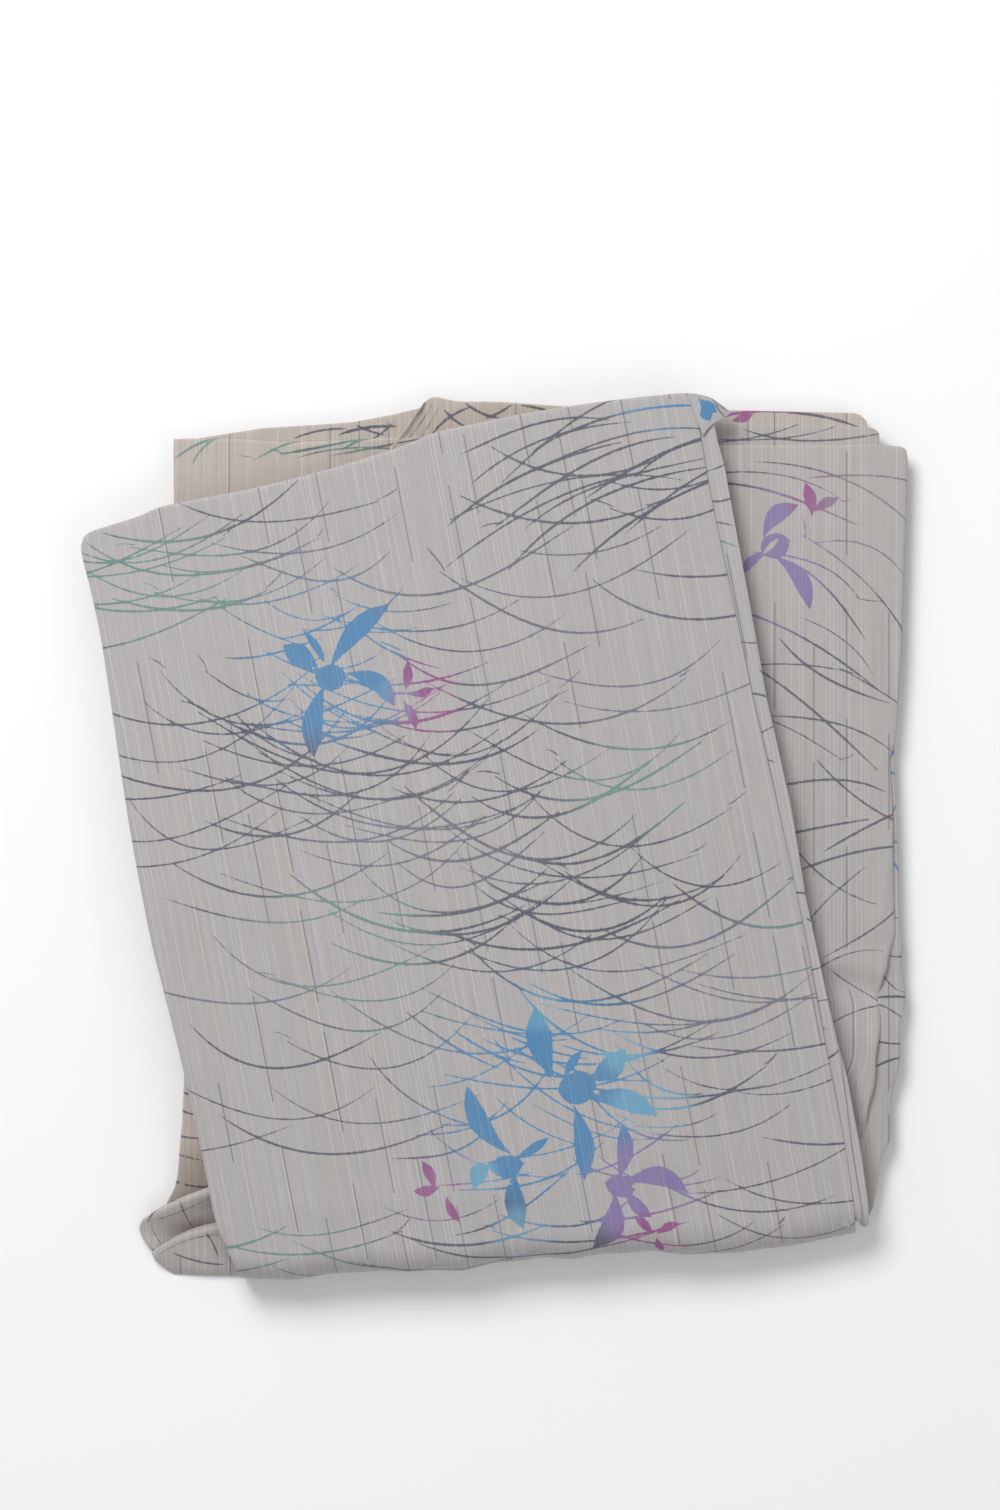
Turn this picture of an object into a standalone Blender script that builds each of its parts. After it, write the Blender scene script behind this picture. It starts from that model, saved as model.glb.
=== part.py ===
"""Cotton yukata robe, folded flat into a packet and laid on a table.

The long garment is folded over its own skirt, so a lower packet lies square on the table and an upper
packet lies on it, turned about eleven degrees. The cloth passes from one to the other round a thick fold
at the foot. The leaves that show are thin walls. The leaves hidden between them share one solid whose
edges are layered.
"""

import math
from collections import namedtuple

import bmesh
import bpy
import numpy as np

MM = 0.001

# Driving sizes, in millimetres
WALL = 1.4  # thickness of one leaf of cloth as a solid
GAP = 0.3  # clearance between leaves that lie on each other
LEAF = 2.7  # loft of one folded leaf inside the packet
GROOVE = 1.1  # how far the crevice between two leaves runs in
LOWER_TOP = 14.0  # top of the lower packet
PILE_TOP = 30.0  # top of the whole pile
FOOT_FOLD = PILE_TOP / 2  # radius of the thick fold at the foot
LEFT_FOLD = 3.4  # radius of the top leaf's fold along the left
HEAD_FOLD = 2.4  # radius of the top leaf's crease along the head
TUCK = 14.0  # how far a leaf's edge strip runs in under its neighbour
CORNER_ROOM = 9.0  # least inset where the fold at the foot runs out at a corner
SHELF_STEPS = 5  # bands across a leaf that lies on a shelf
TOP_STEPS = 5  # rings across the top of the pile
FOLD_STEPS = 9  # facets round a fold
BASE_DIRECTIONS = 72  # directions round the packet before the corners are added

Point = namedtuple("Point", "x y")
Rim = namedtuple("Rim", "x y z")

# Plan of the tilted top leaf: down its left fold, along the foot, up its open edge, back along the head
TOP_LEAF = [
    Point(-195.0, 136.0), Point(-189.4, 112.8), Point(-184.7, 89.8), Point(-179.5, 55.5),
    Point(-171.6, 3.8), Point(-162.2, -45.6), Point(-156.5, -68.6), Point(-147.1, -106.2),
    Point(-138.2, -146.2), Point(-131.6, -179.5), Point(-126.9, -191.3), Point(-120.3, -207.3),
    Point(-115.6, -208.7), Point(-93.5, -208.7), Point(-71.0, -205.4), Point(-16.5, -203.5),
    Point(24.0, -198.8), Point(68.2, -196.4), Point(114.7, -195.6), Point(146.2, -191.8),
    Point(169.6, -187.2), Point(169.7, -181.9), Point(165.0, -147.1), Point(156.0, -100.1),
    Point(144.8, -40.9), Point(132.1, 19.3), Point(121.3, 66.7), Point(110.9, 116.1),
    Point(101.5, 161.7), Point(95.4, 197.4), Point(94.9, 206.8), Point(89.3, 209.4),
    Point(58.8, 205.9), Point(40.9, 203.5), Point(15.5, 199.3), Point(-7.5, 194.6),
    Point(-28.2, 189.9), Point(-44.7, 183.3), Point(-77.6, 173.0), Point(-115.0, 163.6),
    Point(-153.7, 156.0), Point(-185.2, 145.8), Point(-192.4, 142.6),
]

# Plan of the upper overlap's hemmed edge, which shows beside the top leaf, from the foot to the head
UPPER_OVERLAP_EDGE = [
    Point(172.6, -186.0), Point(172.8, -177.2), Point(168.1, -146.6), Point(162.7, -104.3),
    Point(146.5, -29.1), Point(138.8, 17.9), Point(128.1, 64.9), Point(119.7, 111.9),
    Point(112.5, 149.5), Point(108.4, 173.0), Point(104.7, 187.1), Point(102.0, 201.0),
]

# Plan of the under overlap's edge, which fans out below the upper one near the foot
UNDER_OVERLAP_EDGE = [
    Point(176.4, -184.0), Point(176.0, -174.5), Point(172.9, -151.0), Point(165.6, -112.0),
    Point(161.0, -95.0), Point(145.0, -26.0), Point(137.0, 18.0), Point(127.0, 64.0),
]

# Plan of the lower packet's own top leaf: left edge from the head down, foot, right edge up, head
LOWER_LEAF = [
    Point(-152.0, 188.0), Point(-151.8, 157.5), Point(-149.5, 50.0), Point(-147.5, -50.0),
    Point(-147.0, -116.6), Point(-148.0, -135.4), Point(-150.0, -160.5), Point(-137.0, -163.5),
    Point(-128.0, -178.0), Point(-118.0, -205.0), Point(24.0, -197.0), Point(112.0, -194.0),
    Point(168.0, -186.0), Point(172.5, -177.0), Point(173.5, -156.0), Point(175.3, -141.9),
    Point(179.1, -116.1), Point(181.7, -97.3), Point(182.2, -78.5), Point(183.3, -65.8),
    Point(187.5, -55.0), Point(189.4, -45.6), Point(188.7, 3.8), Point(187.1, 36.7),
    Point(189.9, 46.1), Point(192.7, 88.4), Point(194.1, 130.7), Point(195.5, 177.7),
    Point(195.0, 183.0), Point(192.7, 184.6), Point(182.0, 186.0), Point(105.0, 185.6),
    Point(0.0, 187.5), Point(-49.4, 189.0), Point(-62.0, 188.0), Point(-94.5, 186.6),
    Point(-121.7, 188.2), Point(-144.0, 188.4),
]

# Plan of the leaf under it: the collar and the under sleeve reach past the leaf above along the head
UNDER_LEAF = [
    Point(-150.5, 187.0), Point(-150.0, 157.5), Point(-148.0, 50.0), Point(-146.0, -50.0),
    Point(-145.5, -116.6), Point(-147.0, -140.0), Point(-146.0, -158.0), Point(-128.0, -178.0),
    Point(-118.0, -205.0), Point(24.0, -197.0), Point(112.0, -194.0), Point(172.0, -186.0),
    Point(176.7, -180.5), Point(179.5, -174.8), Point(182.7, -153.7), Point(186.5, -141.9),
    Point(188.9, -120.8), Point(192.5, -94.9), Point(193.6, -76.1), Point(193.6, -59.7),
    Point(191.9, -45.6), Point(190.5, 3.8), Point(188.9, 46.1), Point(184.7, 111.9),
    Point(181.9, 185.6), Point(181.9, 191.0), Point(179.0, 193.8), Point(111.4, 196.4),
    Point(60.0, 200.5), Point(37.0, 203.5), Point(1.4, 205.9), Point(-16.5, 206.0),
    Point(-23.5, 207.2), Point(-28.2, 208.0), Point(-32.0, 206.8), Point(-35.0, 203.0),
    Point(-49.4, 199.5), Point(-67.7, 196.2), Point(-109.0, 193.4), Point(-144.0, 188.0),
]

# Plan of the leaves below those, the highest step of all at the right of the head
THIRD_LEAF = [
    Point(-149.5, 186.5), Point(-149.0, 157.5), Point(-147.0, 50.0), Point(-145.0, -50.0),
    Point(-144.5, -116.6), Point(-146.0, -140.0), Point(-145.0, -158.0), Point(-128.0, -178.0),
    Point(-118.0, -205.0), Point(24.0, -197.0), Point(112.0, -194.0), Point(171.0, -186.0),
    Point(175.5, -180.5), Point(178.0, -174.8), Point(181.5, -153.7), Point(185.0, -141.9),
    Point(187.0, -120.8), Point(189.5, -94.9), Point(190.5, -76.1), Point(190.0, -59.7),
    Point(189.0, -45.6), Point(188.0, 3.8), Point(186.0, 46.1), Point(181.0, 111.9),
    Point(176.5, 185.6), Point(176.4, 197.0), Point(172.0, 200.7), Point(111.0, 202.0),
    Point(60.0, 201.5), Point(37.0, 202.5), Point(1.4, 203.9), Point(-32.0, 200.0),
    Point(-49.4, 197.0), Point(-67.7, 194.5), Point(-109.0, 191.6), Point(-144.0, 187.0),
]

# Plan of the bottom leaf's flare at the lower left, where the skirt's hems stand open
FLARE = [
    Point(-150.0, -162.0), Point(-155.0, -172.0), Point(-163.0, -177.5), Point(-166.8, -182.0),
    Point(-165.0, -189.0), Point(-160.0, -197.0), Point(-153.0, -204.0), Point(-149.5, -207.4),
    Point(-120.0, -207.6),
]

# Hemmed leaves of the mouth: near rim, middle and far rim, each from the outside in, with their heights
UPPER_HEM = [
    [Rim(-164.0, -177.2, 9.6), Rim(-156.0, -173.2, 10.8), Rim(-147.5, -170.0, 11.4), Rim(-138.2, -166.8, 11.6)],
    [Rim(-167.6, -182.0, 7.6), Rim(-157.0, -179.6, 8.0), Rim(-147.0, -177.0, 8.2), Rim(-134.6, -173.6, 8.4)],
    [Rim(-166.4, -187.0, 6.2), Rim(-157.0, -186.0, 6.0), Rim(-146.0, -182.6, 5.9), Rim(-133.4, -179.0, 5.9)],
    [Rim(-164.0, -191.4, 5.9), Rim(-157.0, -190.4, 5.9), Rim(-146.0, -188.0, 5.9), Rim(-132.0, -185.0, 5.9)],
]
LOWER_HEM = [
    [Rim(-158.6, -193.6, 9.4), Rim(-150.5, -187.0, 10.6), Rim(-141.0, -182.6, 11.2), Rim(-132.2, -180.8, 11.4)],
    [Rim(-161.2, -196.6, 8.4), Rim(-151.0, -192.6, 10.2), Rim(-141.0, -189.4, 10.8), Rim(-130.0, -188.0, 11.0)],
    [Rim(-157.6, -200.6, 7.0), Rim(-149.0, -199.6, 8.0), Rim(-139.0, -198.4, 8.6), Rim(-127.0, -197.0, 8.8)],
    [Rim(-151.6, -207.6, 5.9), Rim(-144.0, -208.0, 5.9), Rim(-136.0, -208.2, 5.9), Rim(-123.0, -208.4, 5.9)],
]
FLARE_TOP = 4.2  # top of the bottom leaves under the mouth

# Turned corner of the upper overlap at the head: rows from the top leaf's corner outwards
TURNED_CORNER = [
    [Rim(95.6, 207.4, 30.1), Rim(96.2, 201.0, 30.1), Rim(96.9, 194.6, 30.1), Rim(98.2, 188.6, 30.1)],
    [Rim(100.0, 207.5, 29.9), Rim(100.6, 202.0, 30.1), Rim(101.0, 196.6, 30.1), Rim(101.0, 191.0, 30.1)],
    [Rim(105.3, 203.4, 29.2), Rim(105.0, 200.6, 29.7), Rim(104.6, 197.4, 29.8), Rim(104.0, 194.0, 30.1)],
    [Rim(111.0, 200.0, 27.6), Rim(110.2, 199.2, 27.9), Rim(109.4, 198.4, 28.2), Rim(108.4, 197.6, 28.6)],
]

# Shares of the pile's height, by where the cloth sags or buckles
SAG_AT_LEFT = 0.17  # where the upper packet overhangs the lower one
SAG_AT_RIGHT = 0.17  # towards the open edges
SAG_AT_CORNER = 0.16  # towards the mouth of the skirt
BUCKLE_SHARE = 0.09  # waves in the sleeve's lower right
BUCKLE_LENGTH = 62.0
BUCKLE_REACH = 52.0
BUCKLE_MIDDLE = Point(184.0, -96.0)
OPEN_EDGE_HEAD = Point(95.4, 197.4)  # where the top leaf's open edge starts at the head
OPEN_EDGE_SLOPE = 0.193  # how far it runs out for each millimetre towards the foot


def outline_of(points):
    return np.array([(point.x, point.y) for point in points])


def with_right_edge(outline, edge):
    """The outline with the points of its right side swapped for those of another leaf's edge."""
    right = outline[:, 0] > 90.0
    kept = outline[~right]
    start = int(np.argmax(right))
    return np.vstack([kept[:start], edge, kept[start:]])


def reach(outline, angle):
    """Distance from the packet's centre to the outline, in one direction."""
    ray = np.array([math.cos(angle), math.sin(angle)])
    start = outline
    run = np.roll(outline, -1, axis=0) - start
    across = run[:, 0] * ray[1] - run[:, 1] * ray[0]
    across = np.where(np.abs(across) < 1e-9, 1e-9, across)
    share = (ray[0] * start[:, 1] - ray[1] * start[:, 0]) / across
    hit = start + run * share[:, None]
    along = hit @ ray
    inside = (share >= -1e-6) & (share <= 1 + 1e-6) & (along > 0)
    return along[inside].max()


def smooth_step(value, low, high):
    share = np.clip((value - low) / (high - low), 0.0, 1.0)
    return share * share * (3 - 2 * share)


TOP = outline_of(TOP_LEAF)
OVERLAP = with_right_edge(TOP, outline_of(UPPER_OVERLAP_EDGE))
LOWER = outline_of(LOWER_LEAF)
UNDER = outline_of(UNDER_LEAF)
THIRD = outline_of(THIRD_LEAF)
BOTTOM = np.vstack([THIRD[:7], outline_of(FLARE), THIRD[9:]])

# Directions round the packet, with one at every corner that shows
CORNERS = [
    Point(-195.0, 136.0), Point(-189.0, 144.4), Point(94.9, 206.8), Point(169.7, -183.0), Point(-120.3, -207.3),
    Point(-152.0, 188.0), Point(195.0, 183.6), Point(181.9, 192.0), Point(176.0, 199.6),
    Point(-150.0, -160.0), Point(-163.0, -177.5), Point(-166.8, -182.0), Point(-165.0, -189.0),
    Point(-160.0, -197.0), Point(-149.5, -207.4), Point(-28.2, 208.0), Point(-35.0, 203.0),
    Point(-49.4, 199.5), Point(187.5, -55.0), Point(-126.5, -192.0), Point(172.8, -178.6), Point(175.0, -176.0),
    Point(102.0, 201.0), Point(-144.0, -162.0), Point(182.7, -153.7),
]


def directions():
    corners = [math.atan2(corner.y, corner.x) % math.tau for corner in CORNERS]
    even = [math.tau * step / BASE_DIRECTIONS for step in range(BASE_DIRECTIONS)]
    apart = math.radians(1.3)
    kept = [angle for angle in even if min(abs(angle - corner) for corner in corners) > apart]
    chosen = []
    for angle in sorted(kept + corners):
        if not chosen or angle - chosen[-1] > math.radians(0.35):
            chosen.append(angle)
    return np.array(chosen)


ANGLES = directions()
RAYS = np.column_stack([np.cos(ANGLES), np.sin(ANGLES)])


def reaches(outline):
    return np.array([reach(outline, angle) for angle in ANGLES])


def slant(outline):
    """How much further an inset runs along a ray than square to the outline."""
    step = math.radians(1.5)
    shares = []
    for angle in ANGLES:
        before = reach(outline, angle - step)
        after = reach(outline, angle + step)
        here = (before + after) / 2
        slope = (after - before) / (2 * step * here)
        shares.append(min(math.hypot(1.0, slope), 1.9))
    return np.array(shares)


REACH_TOP = reaches(TOP)
REACH_OVERLAP = reaches(OVERLAP)
REACH_LOWER = reaches(LOWER)
REACH_UNDER = reaches(UNDER)
REACH_THIRD = reaches(THIRD)
REACH_BOTTOM = reaches(BOTTOM)
SLANT_TOP = slant(TOP)


def turn_window(first, last, blend=5.0):
    """1 between two directions in degrees, anticlockwise, easing to 0 over the blend outside them."""
    degrees = np.degrees(ANGLES)
    past = (degrees - first) % 360.0
    span = (last - first) % 360.0
    beyond = np.where(past <= span, 0.0, np.minimum(past - span, 360.0 - past))
    return 1.0 - smooth_step(beyond, 0.0, blend)


AT_FOOT = turn_window(240.5, 310.5, 2.2)
AT_LEFT = turn_window(146.0, 237.0, 4.0)
AT_RIGHT = turn_window(-46.5, 63.5, 0.6)

# Radius of the top leaf's turned-down edge, and how far round it turns
FOLD_RADIUS = HEAD_FOLD + (LEFT_FOLD - HEAD_FOLD) * AT_LEFT + (FOOT_FOLD - HEAD_FOLD) * AT_FOOT
FOLD_TURN = np.radians(88.0 + 2.0 * AT_LEFT + 62.0 * AT_FOOT - 82.0 * AT_RIGHT)


def settle(x, y):
    """Share of its full height that the pile keeps at a place, after it sags and buckles."""
    left = SAG_AT_LEFT * smooth_step(-x, 150.0, 205.0)
    edge = OPEN_EDGE_HEAD.x + (OPEN_EDGE_HEAD.y - y) * OPEN_EDGE_SLOPE
    right = SAG_AT_RIGHT * smooth_step(x - edge, -110.0, 10.0)
    corner = SAG_AT_CORNER * smooth_step(-(x + 0.8 * y), 225.0, 320.0)
    near = smooth_step(x - edge, 14.0, 30.0) * np.exp(-(((y - BUCKLE_MIDDLE.y) / BUCKLE_REACH) ** 2))
    buckle = BUCKLE_SHARE * near * np.cos(math.tau * (y - BUCKLE_MIDDLE.y) / BUCKLE_LENGTH)
    return 1.0 - np.minimum(left + corner, 0.2) - right + buckle


def settled(points):
    points = np.array(points, float)
    points[:, 2] *= settle(points[:, 0], points[:, 1])
    return points


def ring(radii, height):
    heights = np.broadcast_to(height, radii.shape)
    return np.column_stack([RAYS * radii[:, None], heights])


def material_of(name, colour, roughness):
    made = bpy.data.materials.new(name)
    made.use_nodes = True
    shader = made.node_tree.nodes["Principled BSDF"]
    shader.inputs["Base Color"].default_value = (*colour, 1.0)
    shader.inputs["Roughness"].default_value = roughness
    shader.inputs["Metallic"].default_value = 0.0
    return made


def add_object(name, shape, colour):
    bmesh.ops.recalc_face_normals(shape, faces=shape.faces)
    mesh = bpy.data.meshes.new(name)
    shape.to_mesh(mesh)
    shape.free()
    mesh.shade_smooth()
    mesh.set_sharp_from_angle(angle=math.radians(38.0))
    mesh.materials.append(material_of(name + "_cloth", colour, 0.85))
    made = bpy.data.objects.new(name, mesh)
    bpy.context.scene.collection.objects.link(made)
    return made


def lofted(name, rings, colour):
    """A closed body through rings of points that all run round the centre, closed by a point at each end."""
    shape = bmesh.new()
    loops = []
    for points in rings:
        loops.append([shape.verts.new(place) for place in settled(points) * MM])
    ends = []
    for points in (rings[0], rings[-1]):
        middle = np.array([[0.0, 0.0, points[:, 2].mean()]])
        ends.append(shape.verts.new(settled(middle)[0] * MM))
    count = len(loops[0])
    for index in range(count):
        after = (index + 1) % count
        shape.faces.new((ends[0], loops[0][after], loops[0][index]))
        shape.faces.new((ends[1], loops[-1][index], loops[-1][after]))
        for low, high in zip(loops, loops[1:]):
            shape.faces.new((low[index], low[after], high[after], high[index]))
    return add_object(name, shape, colour)


def swept(name, sections, colour):
    """A closed body through closed sections of points, one after another, with both ends closed."""
    shape = bmesh.new()
    loops = []
    for points in sections:
        loops.append([shape.verts.new(place) for place in settled(points) * MM])
    count = len(loops[0])
    for near, far in zip(loops, loops[1:]):
        for index in range(count):
            after = (index + 1) % count
            shape.faces.new((near[index], near[after], far[after], far[index]))
    shape.faces.new(loops[0])
    shape.faces.new(reversed(loops[-1]))
    return add_object(name, shape, colour)


def edge_strip(name, between, inner, outer, bottom, colour, steps):
    """A leaf that lies flat round part of the packet, from an inner to an outer reach."""
    first, last = (math.radians(degrees) for degrees in between)
    span = (last - first) % math.tau
    picked = [index for index, angle in enumerate(ANGLES) if (angle - first) % math.tau <= span]
    picked.sort(key=lambda index: (ANGLES[index] - first) % math.tau)
    sections = []
    for index in picked:
        across = [inner[index] + (outer[index] - inner[index]) * step / steps for step in range(steps + 1)]
        lower = [(*(RAYS[index] * radius), bottom) for radius in across]
        upper = [(x, y, z + WALL) for x, y, z in reversed(lower)]
        sections.append(np.array(lower + upper))
    return swept(name, sections, colour)


def draped_leaf(name, rows, colour):
    """A small leaf through rows of points on its upper face."""
    upper = np.array([[(place.x, place.y, place.z) for place in row] for row in rows])
    sections = []
    for row in upper:
        lower = row[::-1].copy()
        lower[:, 2] -= WALL
        sections.append(np.vstack([row, lower]))
    return swept(name, sections, colour)


def within_fold(reach_here, height):
    """The reach held back where the top leaf's turned-down edge goes round the leaves at this height."""
    rise = height - (PILE_TOP - FOLD_RADIUS)
    room = FOLD_RADIUS - WALL - GAP
    inside = FOLD_RADIUS - np.sqrt(room ** 2 - np.minimum(np.abs(rise), room) ** 2)
    flush = FOLD_RADIUS - np.sqrt(FOLD_RADIUS ** 2 - np.minimum(np.abs(rise), FOLD_RADIUS) ** 2)
    lip = PILE_TOP - FOLD_RADIUS * (1 - np.cos(FOLD_TURN))
    lowest = np.minimum(lip, np.minimum(np.roll(lip, 1), np.roll(lip, -1)))
    held = np.where(height > lowest - 2 * GAP, inside, np.where(AT_FOOT > 0.5, flush, 0.0)) * SLANT_TOP
    change = np.maximum(np.abs(lip - np.roll(lip, 1)), np.abs(lip - np.roll(lip, -1)))
    held = np.where((held > 0) & (change > WALL), np.maximum(held + WALL, CORNER_ROOM), held)
    at_foot = np.where(AT_FOOT > 0.5, REACH_TOP, reach_here)
    return np.where(held > 0, np.minimum(at_foot, REACH_TOP - held), reach_here)


def hidden_leaves():
    """All the leaves that don't show, as one solid: flat below, its edges layered like the folded cloth."""
    strip = turn_window(-45.2, 104.0, 0.5)

    def level(reach_here, height, groove):
        return ring(within_fold(reach_here - groove, height), height)

    rings = [level(REACH_BOTTOM, 0.0, 2.4), level(REACH_BOTTOM, 0.9, 1.0)]
    rings += [level(REACH_BOTTOM, FLARE_TOP - 0.6, 0.4), level(REACH_BOTTOM, FLARE_TOP, 1.4)]
    rings += [level(REACH_THIRD, FLARE_TOP + 0.1, GROOVE), level(REACH_THIRD, FLARE_TOP + 1.6, 0.0)]
    rings += [level(REACH_THIRD, FLARE_TOP + LEAF, GROOVE), level(REACH_THIRD, FLARE_TOP + LEAF + 1.3, 0.0)]
    under_bottom = LOWER_TOP - 2 * WALL - 2 * GAP
    rings.append(level(REACH_THIRD, under_bottom - 0.8, 0.3))
    rings.append(level(REACH_THIRD, under_bottom, 1.2))
    back = np.minimum(REACH_UNDER, REACH_THIRD) - 1.2
    tucked = np.minimum(back, REACH_UNDER - (TUCK + 0.6))
    narrow = tucked * strip + back * (1 - strip)
    rings.append(level(narrow, under_bottom + 0.05, 0.0))
    shelf = LOWER_TOP - WALL - GAP
    rings.append(level(narrow, shelf, 0.0))
    upper = REACH_OVERLAP - np.where(AT_RIGHT > 0.5, 1.5, WALL + GAP + 0.3) * SLANT_TOP
    slot = np.minimum(upper, REACH_LOWER - 13.0)
    for step in range(1, SHELF_STEPS + 1):
        rings.append(level(narrow + (slot - narrow) * step / SHELF_STEPS, shelf + 0.01 * step, 0.0))
    rings.append(level(slot, LOWER_TOP + GAP, 0.0))
    rings.append(level(np.clip(REACH_LOWER + 1.0, slot, upper - GROOVE), LOWER_TOP + GAP + 0.05, 0.0))
    rings.append(level(upper - GROOVE, LOWER_TOP + GAP + 0.1, 0.0))
    height = LOWER_TOP + GAP + LEAF / 2
    strips_bottom = PILE_TOP - 3 * WALL - 4 * GAP
    while height + LEAF / 2 < strips_bottom - 0.5:
        rings.append(level(upper, height, 0.0))
        rings.append(level(upper - GROOVE, height + LEAF / 2, 0.0))
        height += LEAF
    rings.append(level(upper, strips_bottom - 0.9, 0.0))
    rings.append(level(upper - 0.4, strips_bottom, 0.0))
    top = PILE_TOP - WALL - GAP
    tucked = np.where(turn_window(-46.6, 64.0, 0.5) > 0, REACH_OVERLAP - (TUCK + 0.6), upper)
    rings.append(level(tucked, strips_bottom + 0.05, 0.0))
    rings.append(level(tucked, PILE_TOP - LEFT_FOLD - 2 * GAP, 0.0))
    rings.append(level(tucked, top - 1.0, 0.0))
    last = np.minimum(tucked - 0.4, REACH_TOP - FOLD_RADIUS * SLANT_TOP)
    rings.append(ring(last, top))
    for step in range(TOP_STEPS - 1, 0, -1):
        rings.append(ring(last * step / TOP_STEPS, top))
    return lofted("folded_layers", rings, (0.50, 0.46, 0.43))


def back_panel():
    """The top leaf: flat over the pile, turned down along its folds, right round the fold at the foot."""
    upper = []
    lower = []
    straight = REACH_TOP - FOLD_RADIUS * np.sin(np.minimum(FOLD_TURN, math.pi / 2)) * SLANT_TOP
    for step in range(1, TOP_STEPS + 1):
        upper.append(ring(straight * step / TOP_STEPS, PILE_TOP))
        lower.append(ring(straight * step / TOP_STEPS, PILE_TOP - WALL))
    for step in range(1, FOLD_STEPS + 1):
        turn = FOLD_TURN * step / FOLD_STEPS
        inner = FOLD_RADIUS - WALL
        out = straight + FOLD_RADIUS * np.sin(turn) * SLANT_TOP
        back = straight + inner * np.sin(turn) * SLANT_TOP
        upper.append(ring(out, PILE_TOP - FOLD_RADIUS * (1 - np.cos(turn))))
        lower.append(ring(back, PILE_TOP - FOLD_RADIUS + inner * np.cos(turn)))
    return lofted("back_panel", upper + lower[::-1], (0.47, 0.45, 0.44))


def build():
    for old in list(bpy.data.objects):
        bpy.data.objects.remove(old)
    hidden_leaves()
    back_panel()
    strip_top = PILE_TOP - WALL - GAP
    behind = REACH_OVERLAP - TUCK
    edge_strip("overlap_upper", (-46.3, 63.3), behind, REACH_OVERLAP, strip_top - WALL, (0.46, 0.44, 0.43), 3)
    fanned = reaches(with_right_edge(TOP, outline_of(UNDER_OVERLAP_EDGE)))
    low = strip_top - 2 * WALL - GAP
    edge_strip("overlap_under", (-46.3, 15.5), behind, fanned, low, (0.45, 0.43, 0.42), 3)
    draped_leaf("overlap_corner", TURNED_CORNER, (0.48, 0.46, 0.44))
    upper = REACH_OVERLAP - np.where(AT_RIGHT > 0.5, 1.5, WALL + GAP + 0.3) * SLANT_TOP
    slot = np.minimum(upper, REACH_LOWER - 13.0) + 0.5
    low = LOWER_TOP - WALL
    edge_strip("sleeve_upper", (-45.3, 62.5), slot, REACH_LOWER, low, (0.47, 0.45, 0.42), SHELF_STEPS)
    edge_strip("front_panel", (95.0, 226.9), slot, REACH_LOWER, low, (0.50, 0.45, 0.41), SHELF_STEPS)
    low = LOWER_TOP - 2 * WALL - GAP
    edge_strip("sleeve_under", (-45.0, 64.0), REACH_UNDER - TUCK, REACH_UNDER, low, (0.47, 0.44, 0.41), 2)
    edge_strip("collar", (66.0, 104.0), REACH_UNDER - TUCK, REACH_UNDER, low, (0.49, 0.45, 0.41), 2)
    draped_leaf("front_hem_upper", UPPER_HEM, (0.45, 0.42, 0.40))
    draped_leaf("front_hem_lower", LOWER_HEM, (0.46, 0.44, 0.42))
    settle_on_origin()


def settle_on_origin():
    """Moves every piece alike, so that the middle of the packet's footprint is the origin."""
    pieces = list(bpy.context.scene.collection.objects)
    places = np.array([corner for piece in pieces for corner in piece.bound_box])
    middle = (places.min(axis=0) + places.max(axis=0)) / 2
    for piece in pieces:
        for vertex in piece.data.vertices:
            vertex.co.x -= middle[0]
            vertex.co.y -= middle[1]


build()
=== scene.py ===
import math
import random
import bpy
import numpy as np
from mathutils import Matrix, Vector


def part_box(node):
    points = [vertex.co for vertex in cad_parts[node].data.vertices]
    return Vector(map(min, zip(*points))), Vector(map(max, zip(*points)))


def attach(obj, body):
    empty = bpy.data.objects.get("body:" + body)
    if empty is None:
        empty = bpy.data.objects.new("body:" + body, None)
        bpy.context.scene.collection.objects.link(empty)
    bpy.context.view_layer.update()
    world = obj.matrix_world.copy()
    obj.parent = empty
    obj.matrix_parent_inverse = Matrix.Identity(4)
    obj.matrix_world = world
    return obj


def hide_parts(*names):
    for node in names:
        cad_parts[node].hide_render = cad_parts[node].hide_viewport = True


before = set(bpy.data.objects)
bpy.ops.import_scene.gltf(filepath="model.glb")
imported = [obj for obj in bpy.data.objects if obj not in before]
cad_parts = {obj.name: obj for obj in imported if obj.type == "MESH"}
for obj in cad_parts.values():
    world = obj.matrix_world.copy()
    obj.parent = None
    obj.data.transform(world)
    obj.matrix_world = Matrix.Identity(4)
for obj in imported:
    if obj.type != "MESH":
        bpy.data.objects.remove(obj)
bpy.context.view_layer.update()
bpy.ops.object.select_all(action="DESELECT")
mm = 0.001

# The pile, in millimetres, as the solids have it
pile = {
    "top": 30.0, "tuck": 14.0, "sagLeft": 0.17, "sagRight": 0.17, "sagCorner": 0.16, "mostSag": 0.2,
    "leftSpan": (150.0, 205.0), "rightSpan": (-110.0, 10.0), "cornerSpan": (225.0, 320.0),
    "openEdgeX": 95.4, "openEdgeY": 197.4, "openEdgeSlope": 0.193,
    "buckle": 0.09, "buckleY": -96.0, "buckleLength": 62.0, "buckleReach": 52.0, "buckleSpan": (14.0, 30.0),
    "mouthDepth": 18.0, "mouth": (212.0, 222.0, 234.0, 238.0),  # directions, in degrees
    "reach": 200.0, "leastSide": 11.0,  # an edge's usual distance from the middle, a sheet's narrowest side
    "tilt": math.radians(10.9),  # how far the upper packet is turned from the lower one
}
pile["shiftY"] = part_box("collar")[1][1] / mm - 208.0  # the solids were moved to stand on the origin

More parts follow.
